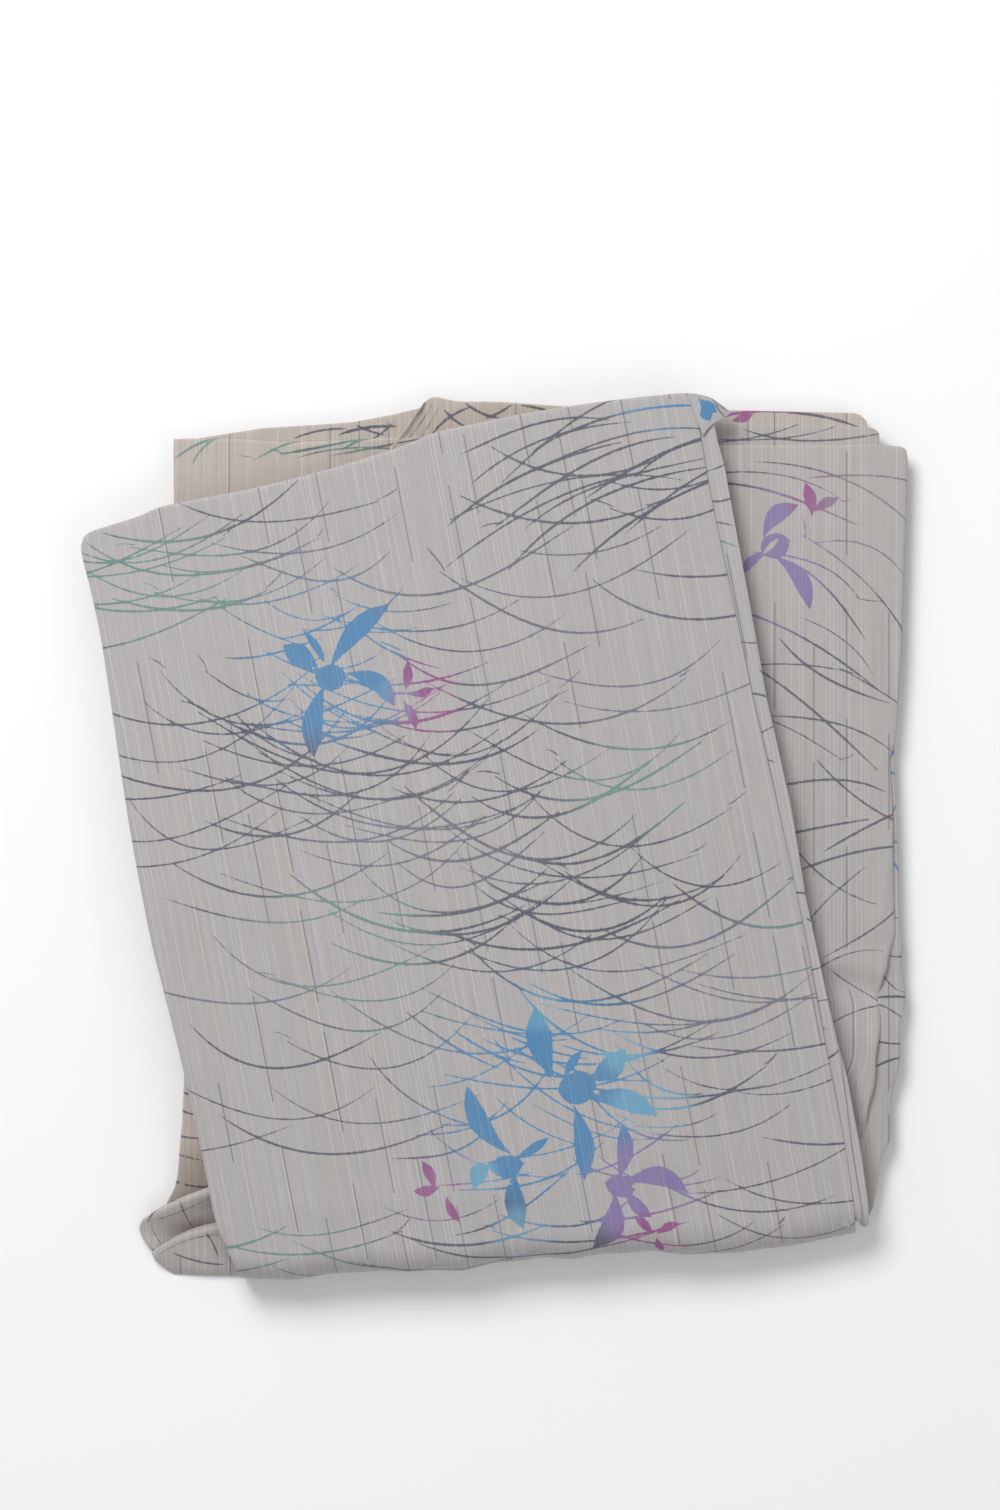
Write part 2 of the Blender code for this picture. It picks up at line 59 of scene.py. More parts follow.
# Plans of the leaves, in millimetres, x towards the open edges and y towards the head
topLeft = [
    (-193.6, 141), (-194.6, 134), (-189.4, 112.8), (-184.7, 89.8), (-179.5, 55.5), (-171.6, 3.8),
    (-162.2, -45.6), (-156.5, -68.6), (-147.1, -106.2), (-138.2, -146.2), (-131.6, -179.5),
    (-126.9, -191.3), (-119.8, -208.3),
]
topFoot = [
    (-119.8, -208.3), (-108, -209), (-93.5, -208.9), (-71, -205.2), (-45, -205.4), (-16.5, -203.6),
    (24, -198.9), (68.2, -196.3), (114.7, -196.2), (146.2, -191.8), (169.6, -187.2),
]
topOpen = [
    (94.9, 206.4), (95.4, 197.4), (101.5, 161.7), (110.9, 116.1), (121.3, 66.7), (132.1, 19.3),
    (144.8, -40.9), (156, -100.1), (165, -147.1), (169.7, -181.9), (169.6, -187.2),
]
topHead = [
    (-193.6, 141), (-190.4, 143.6), (-185.2, 145.4), (-167.3, 150.9), (-153.7, 156), (-115, 163.6),
    (-77.6, 173), (-44.7, 183.3), (-28.2, 189.9), (-7.5, 194.6), (15.5, 199.3), (40.9, 203.5),
    (58.8, 205.9), (76, 207.9), (89.3, 208.9), (94.9, 206.4),
]
upperOverlapEdge = [
    (172.6, -186), (172.8, -177.2), (168.1, -146.6), (162.7, -104.3), (146.5, -29.1), (138.8, 17.9),
    (128.1, 64.9), (119.7, 111.9), (112.5, 149.5), (108.4, 173), (104.7, 187.1), (102, 201),
]
underOverlapEdge = [
    (176.4, -184), (176, -174.5), (172.9, -151), (165.6, -112), (161, -95), (145, -26), (137, 18),
    (127, 64),
]
lowerLeaf = [
    (-152, 188), (-151.8, 157.5), (-149.5, 50), (-147.5, -50), (-147, -116.6), (-148, -135.4),
    (-150, -160.5), (-137, -163.5), (-128, -178), (-118, -205), (24, -197), (112, -194), (168, -186),
    (172.5, -177), (173.5, -156), (175.3, -141.9), (179.1, -116.1), (181.7, -97.3), (182.2, -78.5),
    (183.3, -65.8), (187.5, -55), (189.4, -45.6), (188.7, 3.8), (187.1, 36.7), (189.9, 46.1),
    (192.7, 88.4), (194.1, 130.7), (195.5, 177.7), (195, 183), (192.7, 184.6), (182, 186), (105, 185.6),
    (0, 187.5), (-49.4, 189), (-62, 188), (-94.5, 186.6), (-121.7, 188.2), (-144, 188.4),
]
underLeaf = [
    (-150.5, 187), (-150, 157.5), (-148, 50), (-146, -50), (-145.5, -116.6), (-147, -140), (-146, -158),
    (-128, -178), (-118, -205), (24, -197), (112, -194), (172, -186), (176.7, -180.5), (179.5, -174.8),
    (182.7, -153.7), (186.5, -141.9), (188.9, -120.8), (192.5, -94.9), (193.6, -76.1), (193.6, -59.7),
    (191.9, -45.6), (190.5, 3.8), (188.9, 46.1), (184.7, 111.9), (181.9, 185.6), (181.9, 191),
    (179, 193.8), (111.4, 196.4), (60, 200.5), (37, 203.5), (1.4, 205.9), (-16.5, 206), (-23.5, 207.2),
    (-28.2, 208), (-32, 206.8), (-35, 203), (-49.4, 199.5), (-67.7, 196.2), (-109, 193.4), (-144, 188),
]
thirdLeaf = [
    (-149.5, 186.5), (-149, 157.5), (-147, 50), (-145, -50), (-144.5, -116.6), (-146, -140), (-145, -158),
    (-128, -178), (-118, -205), (24, -197), (112, -194), (171, -186), (175.5, -180.5), (178, -174.8),
    (181.5, -153.7), (185, -141.9), (187, -120.8), (189.5, -94.9), (190.5, -76.1), (190, -59.7),
    (189, -45.6), (188, 3.8), (186, 46.1), (181, 111.9), (176.5, 185.6), (176.4, 197), (172, 200.7),
    (111, 202), (60, 201.5), (37, 202.5), (1.4, 203.9), (-32, 200), (-49.4, 197), (-67.7, 194.5),
    (-109, 191.6), (-144, 187),
]
flare = [
    (-149, -162), (-151.5, -169), (-155.5, -174.8), (-164.6, -184.6), (-165, -189), (-160, -197),
    (-153, -204), (-149.5, -207.4), (-120, -207.6),
]
frontMouth = [
    (-149.2, -148), (-150, -158), (-151, -164.5), (-153.6, -170.2), (-157.2, -176.6), (-156, -180),
    (-128, -178),
]
mouthLowEdge = [
    (-147.6, -150), (-148.8, -160), (-151.6, -169), (-154.5, -174.2), (-147, -170), (-137, -166),
    (-126, -162),
]
mouthHighEdge = [
    (-147.4, -148), (-148.2, -157), (-148.8, -162), (-150.4, -166), (-146, -165.5), (-137, -162),
    (-126, -158),
]


def smoothStep(value, low, high):
    share = np.clip((value - low) / (high - low), 0.0, 1.0)
    return share * share * (3 - 2 * share)


def plateau(value, rise, full, fade, end):  # 1 from full to fade, and 0 outside rise and end
    return smoothStep(value, rise, full) * (1 - smoothStep(value, fade, end))


def settle(x, y):  # share of its height that the pile keeps at a place
    left = pile["sagLeft"] * smoothStep(-x, *pile["leftSpan"])
    edge = pile["openEdgeX"] + (pile["openEdgeY"] - y) * pile["openEdgeSlope"]
    right = pile["sagRight"] * smoothStep(x - edge, *pile["rightSpan"])
    corner = pile["sagCorner"] * smoothStep(-(x + 0.8 * y), *pile["cornerSpan"])
    away = y - pile["buckleY"]
    near = smoothStep(x - edge, *pile["buckleSpan"]) * np.exp(-((away / pile["buckleReach"]) ** 2))
    buckle = pile["buckle"] * near * np.cos(math.tau * away / pile["buckleLength"])
    return 1.0 - np.minimum(left + corner, pile["mostSag"]) - right + buckle


def splined(points, shares):  # a smooth curve through the points, read at shares of its length
    points = np.array(points, float)
    padded = np.vstack([2 * points[0] - points[1], points, 2 * points[-1] - points[-2]])
    t = np.linspace(0, 1, 17)[:, None]
    dense = []
    for index in range(len(points) - 1):
        before, start, end, after = padded[index:index + 4]
        curve = 2 * start + (end - before) * t + (2 * before - 5 * start + 4 * end - after) * t ** 2
        curve = curve + (3 * start - before - 3 * end + after) * t ** 3
        dense.append(0.5 * curve[:-1])
    dense = np.vstack(dense + [points[-1:]])
    steps = np.r_[0, np.cumsum(np.linalg.norm(np.diff(dense, axis=0), axis=1))]
    return np.column_stack([np.interp(shares, steps / steps[-1], column) for column in dense.T])


def raysAt(angles):
    return np.column_stack([np.cos(angles), np.sin(angles)])


def reachOf(outline, angles):  # distance from the middle of the packet to an outline, direction by direction
    outline = np.array(outline, float)
    run = np.roll(outline, -1, axis=0) - outline
    rays = raysAt(angles)
    across = run[None, :, 0] * rays[:, None, 1] - run[None, :, 1] * rays[:, None, 0]
    across = np.where(np.abs(across) < 1e-9, 1e-9, across)
    share = (rays[:, None, 0] * outline[None, :, 1] - rays[:, None, 1] * outline[None, :, 0]) / across
    hit = outline[None] + run[None] * share[:, :, None]
    along = (hit * rays[:, None, :]).sum(axis=2)
    return np.where((share >= -1e-6) & (share <= 1 + 1e-6) & (along > 0), along, 0).max(axis=1)


def slantOf(outline, angles):  # how much longer a ray's way through an edge is than the edge is thick
    step = math.radians(1.5)
    before, after = reachOf(outline, angles - step), reachOf(outline, angles + step)
    return np.minimum(np.hypot(1.0, (after - before) / (step * (before + after))), 1.9)


def withRightEdge(outline, edge):
    outline = np.array(outline, float)
    right = outline[:, 0] > 90.0
    kept = outline[~right]
    start = int(np.argmax(right))
    return np.vstack([kept[:start], np.array(edge, float), kept[start:]])


topOutline = topLeft[1:-1] + topFoot[:-1] + topOpen[::-1][:-1] + topHead[::-1]
overlapOutline = withRightEdge(topOutline, upperOverlapEdge)
fannedOutline = withRightEdge(topOutline, underOverlapEdge)
bottomOutline = thirdLeaf[:7] + flare + thirdLeaf[9:]
frontOutline = lowerLeaf[:6] + frontMouth + lowerLeaf[9:]
mouthLow = thirdLeaf[:6] + mouthLowEdge + thirdLeaf[9:]
mouthHigh = thirdLeaf[:6] + mouthHighEdge + thirdLeaf[9:]


def wobble(seed, along, size, turns=(3, 5, 8, 13, 21)):  # slow unevenness round an edge
    dice = random.Random(seed)
    total = np.zeros_like(along)
    for turn in turns:
        total += np.sin(along * turn + dice.uniform(0, math.tau)) * dice.uniform(0.3, 1.0)
    return size * total / len(turns)


def alongWarp(flat, tilt):  # the cloth's own axes, where its warp is turned from the lower packet's
    x, y, cosine, sine = flat[..., 0], flat[..., 1], math.cos(tilt), math.sin(tilt)
    return np.stack([x * cosine + y * sine, y * cosine - x * sine], axis=-1)


def quadsOf(grid):
    return grid[:-1, :-1], grid[:-1, 1:], grid[1:, 1:], grid[1:, :-1]


def sheetArea(grid):  # developed area of a grid, in square millimetres
    a, b, c, d = quadsOf(np.pad(grid, ((0, 0), (0, 0), (0, 3 - grid.shape[-1]))))
    return float(np.linalg.norm(np.cross(c - a, d - b), axis=-1).sum() / 2)


# The print. Petals and lines are x, y, x, y, sag, width and form, slits are x, y, x, y, width, and arcs are
# groups of strokes in rows
brush = {
    "margin": 2.7, "cells": 1.42, "largestCell": 2.9,  # ink known beside a stroke, and mesh cells between two
    "slim": 0.88, "twigs": 0.3, "twigTurn": (12, 42), "twigReach": (6, 15), "twigWidth": 0.33,
}
arcColumns = ("at", "spread", "grid", "length", "sag", "tilt", "width", "lean")
inks = {
    "stone": (0.092, 0.096, 0.128), "green": (0.135, 0.270, 0.235), "blue": (0.066, 0.225, 0.430),
    "sky": (0.150, 0.390, 0.560), "purple": (0.225, 0.175, 0.365), "magenta": (0.285, 0.085, 0.240),
    "mist": (0.215, 0.212, 0.268),
}


class Print:  # strokes with a swelling width, each kept in a layer where it meets no other
    def __init__(self, drawn, look):
        self.drawn = drawn.reshape(-1, 2)
        cells = [np.percentile(np.linalg.norm(np.diff(drawn, axis=k), axis=-1), 90) for k in (0, 1)]
        self.cell = brush["cells"] * min(max(cells), brush["largestCell"])
        self.layers = np.tile(np.array([0.0, -4.0, 0.0]), (look["layers"] + 1, len(self.drawn), 1))
        self.margin = look.get("margin", brush["margin"])
        self.used = np.zeros((look["layers"] + 1, len(self.drawn)), bool)
        self.dice = random.Random(look["seed"])
        self.missed = 0
        for row in look.get("petals", []):
            self.stroke(row[0:2], row[2:4], row[4], row[5] / 2, row[6] if len(row) > 6 else "petal")
        for row in look.get("slits", []):
            self.stroke(row[0:2], row[2:4], 0.0, row[4] / 2, "disc", bare=True)
        for row in look.get("lines", []):
            self.stroke(row[0:2], row[2:4], row[4], row[5] / 2)
        for row in look.get("arcs", []):
            self.arcs({"lean": 0, **dict(zip(arcColumns, row))})

    def stroke(self, start, end, sag, halfWidth, kind="blade", skew=0.0, bare=False):
        start, end = np.array(start, float), np.array(end, float)
        length = float(np.linalg.norm(end - start))
        along = (end - start) / length
        aside = np.array([along[1], -along[0]])
        offset = self.drawn - start
        u = offset @ along / length
        inside = np.clip(u, 0.0, 1.0)
        lean = 1 + skew * (inside - 0.5)
        slope = 4 * sag / length * ((1 - 2 * inside) * lean + inside * (1 - inside) * skew)
        middle = 4 * sag * inside * (1 - inside) * lean + slope * (u - inside) * length
        f = (offset @ aside - middle) / np.sqrt(1 + slope * slope)
        if kind == "petal":
            swell = 0.09 + 0.91 * np.sin(math.pi * inside ** 1.25) ** 0.9
        elif kind == "leaf":
            swell = np.sin(math.pi * inside) ** 0.8
        elif kind == "disc":
            swell = np.sqrt(1 - (2 * inside - 1) ** 2)
        else:
            swell = 0.35 + 0.65 * np.minimum(1.0, np.minimum(inside / 0.2, (1 - inside) / 0.26)) ** 0.7
        beyond = np.abs(u - inside) * length
        w = halfWidth * swell - 0.5 * beyond - 0.05
        apart = self.margin + self.cell
        band = (np.abs(f) < halfWidth * swell + self.margin) & (beyond < self.margin)
        near = (np.abs(f) < halfWidth * swell + apart) & (beyond < apart)
        for layer in [-1] if bare else range(len(self.layers) - 1):
            if not (self.used[layer] & near).any():
                self.used[layer] |= band
                self.layers[layer, band] = np.column_stack([f[band], w[band], np.zeros(band.sum())])
                return
        self.missed += 1

    def arcs(self, group):
        dice, spread, (rows, columns) = self.dice, group["spread"], group["grid"]
        across = raysAt(math.radians(group["lean"]))[0]
        down = np.array([-across[1], across[0]])
        for row, column in np.ndindex(rows, columns):
            x = ((column + 0.25 + 0.5 * (row % 2) + dice.uniform(-0.3, 0.3)) / columns * 2 - 1) * spread[0]
            y = ((row + 0.5 + dice.uniform(-0.28, 0.28)) / rows * 2 - 1) * spread[1]
            middle = group["at"] + x * across + y * down
            length = dice.uniform(*group["length"])
            tilt = math.radians(dice.uniform(*group["tilt"]))
            sag = length * dice.uniform(*group["sag"])
            wide = brush["slim"] * dice.uniform(*group["width"])
            half = raysAt(tilt)[0] * length / 2
            self.stroke(middle - half, middle + half, sag, wide / 2, skew=dice.uniform(-0.8, 0.8))
            if dice.random() < brush["twigs"]:
                side = dice.choice((-1, 1))
                tip = middle + half * side * 0.93
                turn = side * math.radians(dice.uniform(*brush["twigTurn"]))
                way = tilt + (0 if side > 0 else math.pi) + turn
                end = tip + raysAt(way)[0] * dice.uniform(*brush["twigReach"])
                self.stroke(tip, end, 0.6, wide * brush["twigWidth"])

    def write(self, mesh):
        for index, layer in enumerate(self.layers):
            paint(mesh, f"print{index}", "FLOAT_VECTOR", "vector", layer)


def paint(mesh, name, kind, key, values):  # one value for each point of the mesh
    mesh.attributes.new(name, kind, "POINT").data.foreach_set(key, values.astype(np.float32).ravel())


def inkColours(flat, zones):  # the dyer's brush: each ink fades into the next round its own place
    points = flat.reshape(-1, 2)
    colours = np.tile(np.array(inks["stone"]), (len(points), 1))
    for ink, at, reach, strength in zones:
        away = np.linalg.norm((points - np.array(at)) / np.array(reach), axis=1)
        share = (1 - smoothStep(away, 0.62, 1.15))[:, None] * strength
        colours = colours * (1 - share) + np.array(inks[ink]) * share
    return np.column_stack([colours, np.ones(len(points))])


class Signal:  # a socket whose arithmetic adds the nodes it needs
    def __init__(self, socket):
        self.socket = socket
        self.tree = socket.id_data

    def math(self, operation, *others, clamp=False):
        inputs = dict(enumerate((self, *others)))
        return Signal(addNode(self.tree, "Math", inputs, operation=operation, use_clamp=clamp).outputs[0])

    def __add__(self, other):
        return self.math("ADD", other)

    def __sub__(self, other):
        return self.math("SUBTRACT", other)

    def __mul__(self, other):
        return self.math("MULTIPLY", other)

    def __truediv__(self, other):
        return self.math("DIVIDE", other)

    def clipped(self, factor, offset):  # kept between 0 and 1
        return self.math("MULTIPLY_ADD", factor, offset, clamp=True)

    def noise(self, scale, detail=2.0, roughness=0.5):
        inputs = {"Vector": self, "Scale": scale, "Detail": detail, "Roughness": roughness}
        return Signal(addNode(self.tree, "TexNoise", inputs).outputs[0])

    def pick(self):  # a random number for each whole one
        return Signal(addNode(self.tree, "TexWhiteNoise", {"W": self}, noise_dimensions="1D").outputs[0])

    def stretched(self, across, along, lift=0.0):
        inputs = {"Vector": self, "Location": (lift, lift * 0.37, lift), "Scale": (across, along, 1.0)}
        return Signal(addNode(self.tree, "Mapping", inputs).outputs[0])


def feed(socket, value):
    if isinstance(value, Signal):
        socket.id_data.links.new(value.socket, socket)
    else:
        socket.default_value = (*value, 1.0) if socket.type == "RGBA" else value


def addNode(tree, kind, inputs, **settings):
    node = tree.nodes.new("ShaderNode" + kind)
    for name, value in settings.items():
        setattr(node, name, value)
    for key, value in inputs.items():
        feed(node.inputs[key], value)
    return node


def mix(tree, share, first, second, blend="MIX"):
    node = addNode(tree, "Mix", {0: share, 6: first, 7: second}, data_type="RGBA", blend_type=blend)
    return Signal(node.outputs[2])


def attribute(tree, name, output):
    return Signal(addNode(tree, "Attribute", {}, attribute_name=name).outputs[output])


def newGroup(name, inputs, outputs):
    group = bpy.data.node_groups.new(name, "ShaderNodeTree")
    for label, kind, value in inputs:
        socket = group.interface.new_socket(label, in_out="INPUT", socket_type="NodeSocket" + kind)
        if value is not None:
            socket.default_value = value
    for label in outputs:
        group.interface.new_socket(label, in_out="OUTPUT", socket_type="NodeSocketFloat")
    given = group.nodes.new("NodeGroupInput")
    return group, map(Signal, given.outputs[:len(inputs)]), group.nodes.new("NodeGroupOutput").inputs


# Spacing of the light yarns, of the odd dark threads and of the weave, in metres
weave = {
    "yarns": 0.00185, "threads": 0.0175, "threadRun": 0.062, "threadWidth": 0.00030, "dots": 0.00085,
    "weft": 0.00048, "warp": 0.00044,
}


def buildWarpGroup():
    group, (cloth, spacing, length), put = newGroup(
        "warpStripes",
        [("Cloth", "Vector", None), ("Thread Spacing", "Float", weave["threads"]),
         ("Thread Run", "Float", weave["threadRun"])],
        ["Tone", "Warmth", "Thread", "Height"],
    )
    across, along = map(Signal, addNode(group, "SeparateXYZ", {0: cloth}).outputs[:2])
    fine = cloth.stretched(1300, 18).noise(1.0, 3.0, 0.8)
    wide = cloth.stretched(300, 3, 4.0).noise(1.0, 4.0, 0.7)
    slub = cloth.stretched(60, 2400, 9.0).noise(1.0, 2.0, 0.6)
    warm = cloth.stretched(330, 2.0, 21.0).noise(1.0, 4.0, 0.7)

    yarn = across / weave["yarns"]
    own = yarn.math("FLOOR").pick()
    off = yarn.math("FRACT") - (own * 0.5 + 0.25)
    light = off.math("ABSOLUTE").clipped(-10.0, 1.6) * own.clipped(2.2, -0.75)
    tone = fine * 1.4 + wide * 0.30 - 0.52 + light * 0.62 + (slub - 0.5) * 0.5

    cell = across / spacing
    index = cell.math("FLOOR")
    own = index.pick()
    away = (cell.math("FRACT") - (own * 0.8 + 0.1)).math("ABSOLUTE") * spacing / weave["threadWidth"]
    run = along / length + own * 17.3
    mixed = addNode(group, "CombineXYZ", {0: index, 1: run.math("FLOOR")})
    luck = Signal(addNode(group, "TexWhiteNoise", {0: Signal(mixed.outputs[0])}).outputs[0])
    shown = luck.math("GREATER_THAN", 0.45) * run.math("FRACT").math("LESS_THAN", luck * 0.6 + 0.3)
    dots = (along / weave["dots"]).math("FRACT").math("LESS_THAN", 0.6) * 0.6 + 0.4
    thread = shown * away.clipped(-1.0, 1.35) * dots

    weft = (along * (math.tau / weave["weft"])).math("SINE")
    warp = (across * (math.tau / weave["warp"])).math("SINE")
    height = (weft + warp) * 0.12 + fine + slub * 0.5
    for socket, value in zip(put, (tone, warm, thread, height)):
        feed(socket, value)
    return group


def buildInkGroup():
    group, (stroke, spread), put = newGroup(
        "inkStroke", [("Stroke", "Vector", None), ("Spread", "Float", 0.30)], ["Room", "Pull"])
    off, width = map(Signal, addNode(group, "SeparateXYZ", {0: stroke}).outputs[:2])
    room = width - off.math("ABSOLUTE")
    feed(put["Room"], room)
    feed(put["Pull"], (room / spread).math("EXPONENT"))
    return group


warpGroup = buildWarpGroup()
inkGroup = buildInkGroup()
clothTones = {
    "cool": (0.434, 0.427, 0.441), "warm": (0.469, 0.432, 0.411), "warmth": 0.0, "contrast": 0.36,
    "ghost": 0.16, "ghostInk": (0.36, 0.38, 0.43),  # print of the layer below, shining through
    "thread": 0.84, "threadInk": (0.080, 0.074, 0.092),
    # shade is the warm colour of the painted shade laid into hollows
    "dust": (0.38, 0.36, 0.36), "shade": (0.56, 0.46, 0.40),
    "spread": 0.30, "crisp": 3.2, "edge": 0.3,  # how far strokes run together, and how sharply ink ends
    "sheen": 0.18, "sheenRoughness": 0.55, "specular": 0.25, "bump": 0.35, "bumpDepth": 0.00035,
}


def makeCloth(name, look):
    tones = {**clothTones, **look.get("tones", {})}
    material = bpy.data.materials.new(name + "Cloth")
    material.use_nodes = True
    tree = material.node_tree
    shader = tree.nodes["Principled BSDF"]
    coords = Signal(addNode(tree, "TexCoord", {}).outputs["Object"])
    cloth = Signal(addNode(tree, "UVMap", {}, uv_map="cloth").outputs[0])
    stripes = addNode(tree, "Group", {}, node_tree=warpGroup)
    feed(stripes.inputs["Cloth"], cloth)
    stripe, warmth, thread, height = map(Signal, stripes.outputs[:4])
    base = mix(tree, warmth.clipped(3.4, tones["warmth"] - 1.2), tones["cool"], tones["warm"])
    base = mix(tree, 1.0, base, stripe * tones["contrast"] + (1 - tones["contrast"] * 0.5), "MULTIPLY")
    cloudy = coords.noise(14.0)
    ghost = coords.stretched(9.0, 22.0).noise(1.0, 3.0).clipped(5.0, -2.9)
    base = mix(tree, ghost * tones["ghost"], base, tones["ghostInk"])
    base = mix(tree, thread * tones["thread"], base, tones["threadInk"])

    pull = 0.0001
    for index in range(look["layers"] + 1):
        inputs = {"Stroke": attribute(tree, f"print{index}", "Vector"), "Spread": tones["spread"]}
        stroke = addNode(tree, "Group", inputs, node_tree=inkGroup)
        if index < look["layers"]:
            pull = Signal(stroke.outputs["Pull"]) + pull
    room = pull.math("LOGARITHM", math.e) * tones["spread"] + (coords.noise(330.0, 3.0, 0.75) - 0.50)
    ink = room.clipped(tones["crisp"], tones["edge"])
    bare = Signal(stroke.outputs["Room"]).clipped(tones["crisp"], tones["edge"])
    ink = ink - ink * bare  # the last layer keeps cloth bare
    ink = ink * (cloudy * 0.5 + 0.68) * (stripe * -0.30 + 1.10)
    base = mix(tree, ink.clipped(0.98, 0.0), base, attribute(tree, "ink", "Color"))
    base = mix(tree, cloudy.clipped(0.10, -0.02), base, tones["dust"])
    # painted shade: where the mesh marks a hollow, the cloth is multiplied by the warm shade colour
    shaded = mix(tree, 1.0, base, tones["shade"], "MULTIPLY")
    base = mix(tree, attribute(tree, "paintedShade", "Fac"), base, shaded)

    bump = addNode(tree, "Bump", {"Height": height + coords.noise(46.0, 3.0, 0.55) * 2.4})
    bump.inputs["Strength"].default_value = tones["bump"]
    bump.inputs["Distance"].default_value = tones["bumpDepth"]
    feed(shader.inputs["Base Color"], base)
    feed(shader.inputs["Roughness"], stripe * 0.12 + 0.80)
    feed(shader.inputs["Normal"], Signal(bump.outputs[0]))
    shader.inputs["Sheen Weight"].default_value = tones["sheen"]
    shader.inputs["Sheen Roughness"].default_value = tones["sheenRoughness"]
    shader.inputs["Specular IOR Level"].default_value = tones["specular"]
    return material


def makeSheet(name, places, cloth, drawn, look, thickness=0.45, closedRound=False):
    rows, columns = places.shape[:2]  # grids in mm: where it lies, its flat cloth, and its print's plane
    points = places.reshape(-1, 3).copy()
    points[:, 1] += pile["shiftY"]
    grid = np.arange(rows * columns).reshape(rows, columns)
    if closedRound:
        grid = np.column_stack([grid, grid[:, 0]])
    faces = np.stack(quadsOf(grid), axis=-1).reshape(-1, 4)
    facing = np.cross(points[faces[:, 2]] - points[faces[:, 0]], points[faces[:, 3]] - points[faces[:, 1]])
    if facing[:, 2].sum() < 0:
        faces = faces[:, ::-1]
    mesh = bpy.data.meshes.new(name)
    mesh.vertices.add(len(points))
    mesh.vertices.foreach_set("co", (points * mm).ravel())
    mesh.loops.add(faces.size)
    mesh.loops.foreach_set("vertex_index", faces.ravel())
    mesh.polygons.add(len(faces))
    mesh.polygons.foreach_set("loop_start", np.arange(0, faces.size, 4))
    mesh.update(calc_edges=True)
    uv = mesh.uv_layers.new(name="cloth")
    uv.data.foreach_set("uv", (cloth.reshape(-1, 2)[faces.ravel()] * mm).ravel())
    paint(mesh, "ink", "FLOAT_COLOR", "color", inkColours(drawn, look.get("zones", ())))
    # painted shade: a darkening laid into the colour where the mouth's hollows fall into shadow, each given
    # by place, reaches and strength
    paintedShade = np.zeros(len(points))
    for x, y, reachX, reachY, strength in look.get("paintedShades", ()):
        away = np.hypot((drawn[..., 0].ravel() - x) / reachX, (drawn[..., 1].ravel() - y) / reachY)
        paintedShade = np.maximum(paintedShade, strength * (1 - smoothStep(away, 0.0, 1.0)))
    paint(mesh, "paintedShade", "FLOAT", "value", paintedShade)
    drawing = Print(drawn, look)
    drawing.write(mesh)
    mesh.materials.append(makeCloth(name, look))
    mesh.shade_smooth()
    piece = bpy.data.objects.new(name, mesh)
    bpy.context.scene.collection.objects.link(piece)
    bpy.context.view_layer.objects.active = piece
    if thickness:
        wall = piece.modifiers.new("wall", "SOLIDIFY")
        wall.thickness = thickness * mm
        wall.offset = -1.0
        bpy.ops.object.modifier_apply(modifier=wall.name)
    print(name, "faces", len(piece.data.polygons), "strokes left out", drawing.missed)
    return piece


def declare(piece, area, length, restsOn, *nodes):
    length = min(length, area / pile["leastSide"])
    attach(piece, "root")
    if nodes:
        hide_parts(*nodes)
    area / length * mm
    length * mm
    print(piece.name, "flat", round(area / length), "x", round(length), "mm")


def creased(x, y, creases):  # soft troughs and ridges, given one by one
    total = np.zeros_like(x)
    for start, end, rise, width, bow in creases:
        start, end = np.array(start), np.array(end)
        length = np.linalg.norm(end - start)
        along = (end - start) / length
        s = ((x - start[0]) * along[0] + (y - start[1]) * along[1]) / length
        h = -(x - start[0]) * along[1] + (y - start[1]) * along[0] - bow * 4 * s * (1 - s)
        total += rise * plateau(s, -0.12, 0.2, 0.75, 1.12) * np.exp(-(h / width) ** 2)
    return total


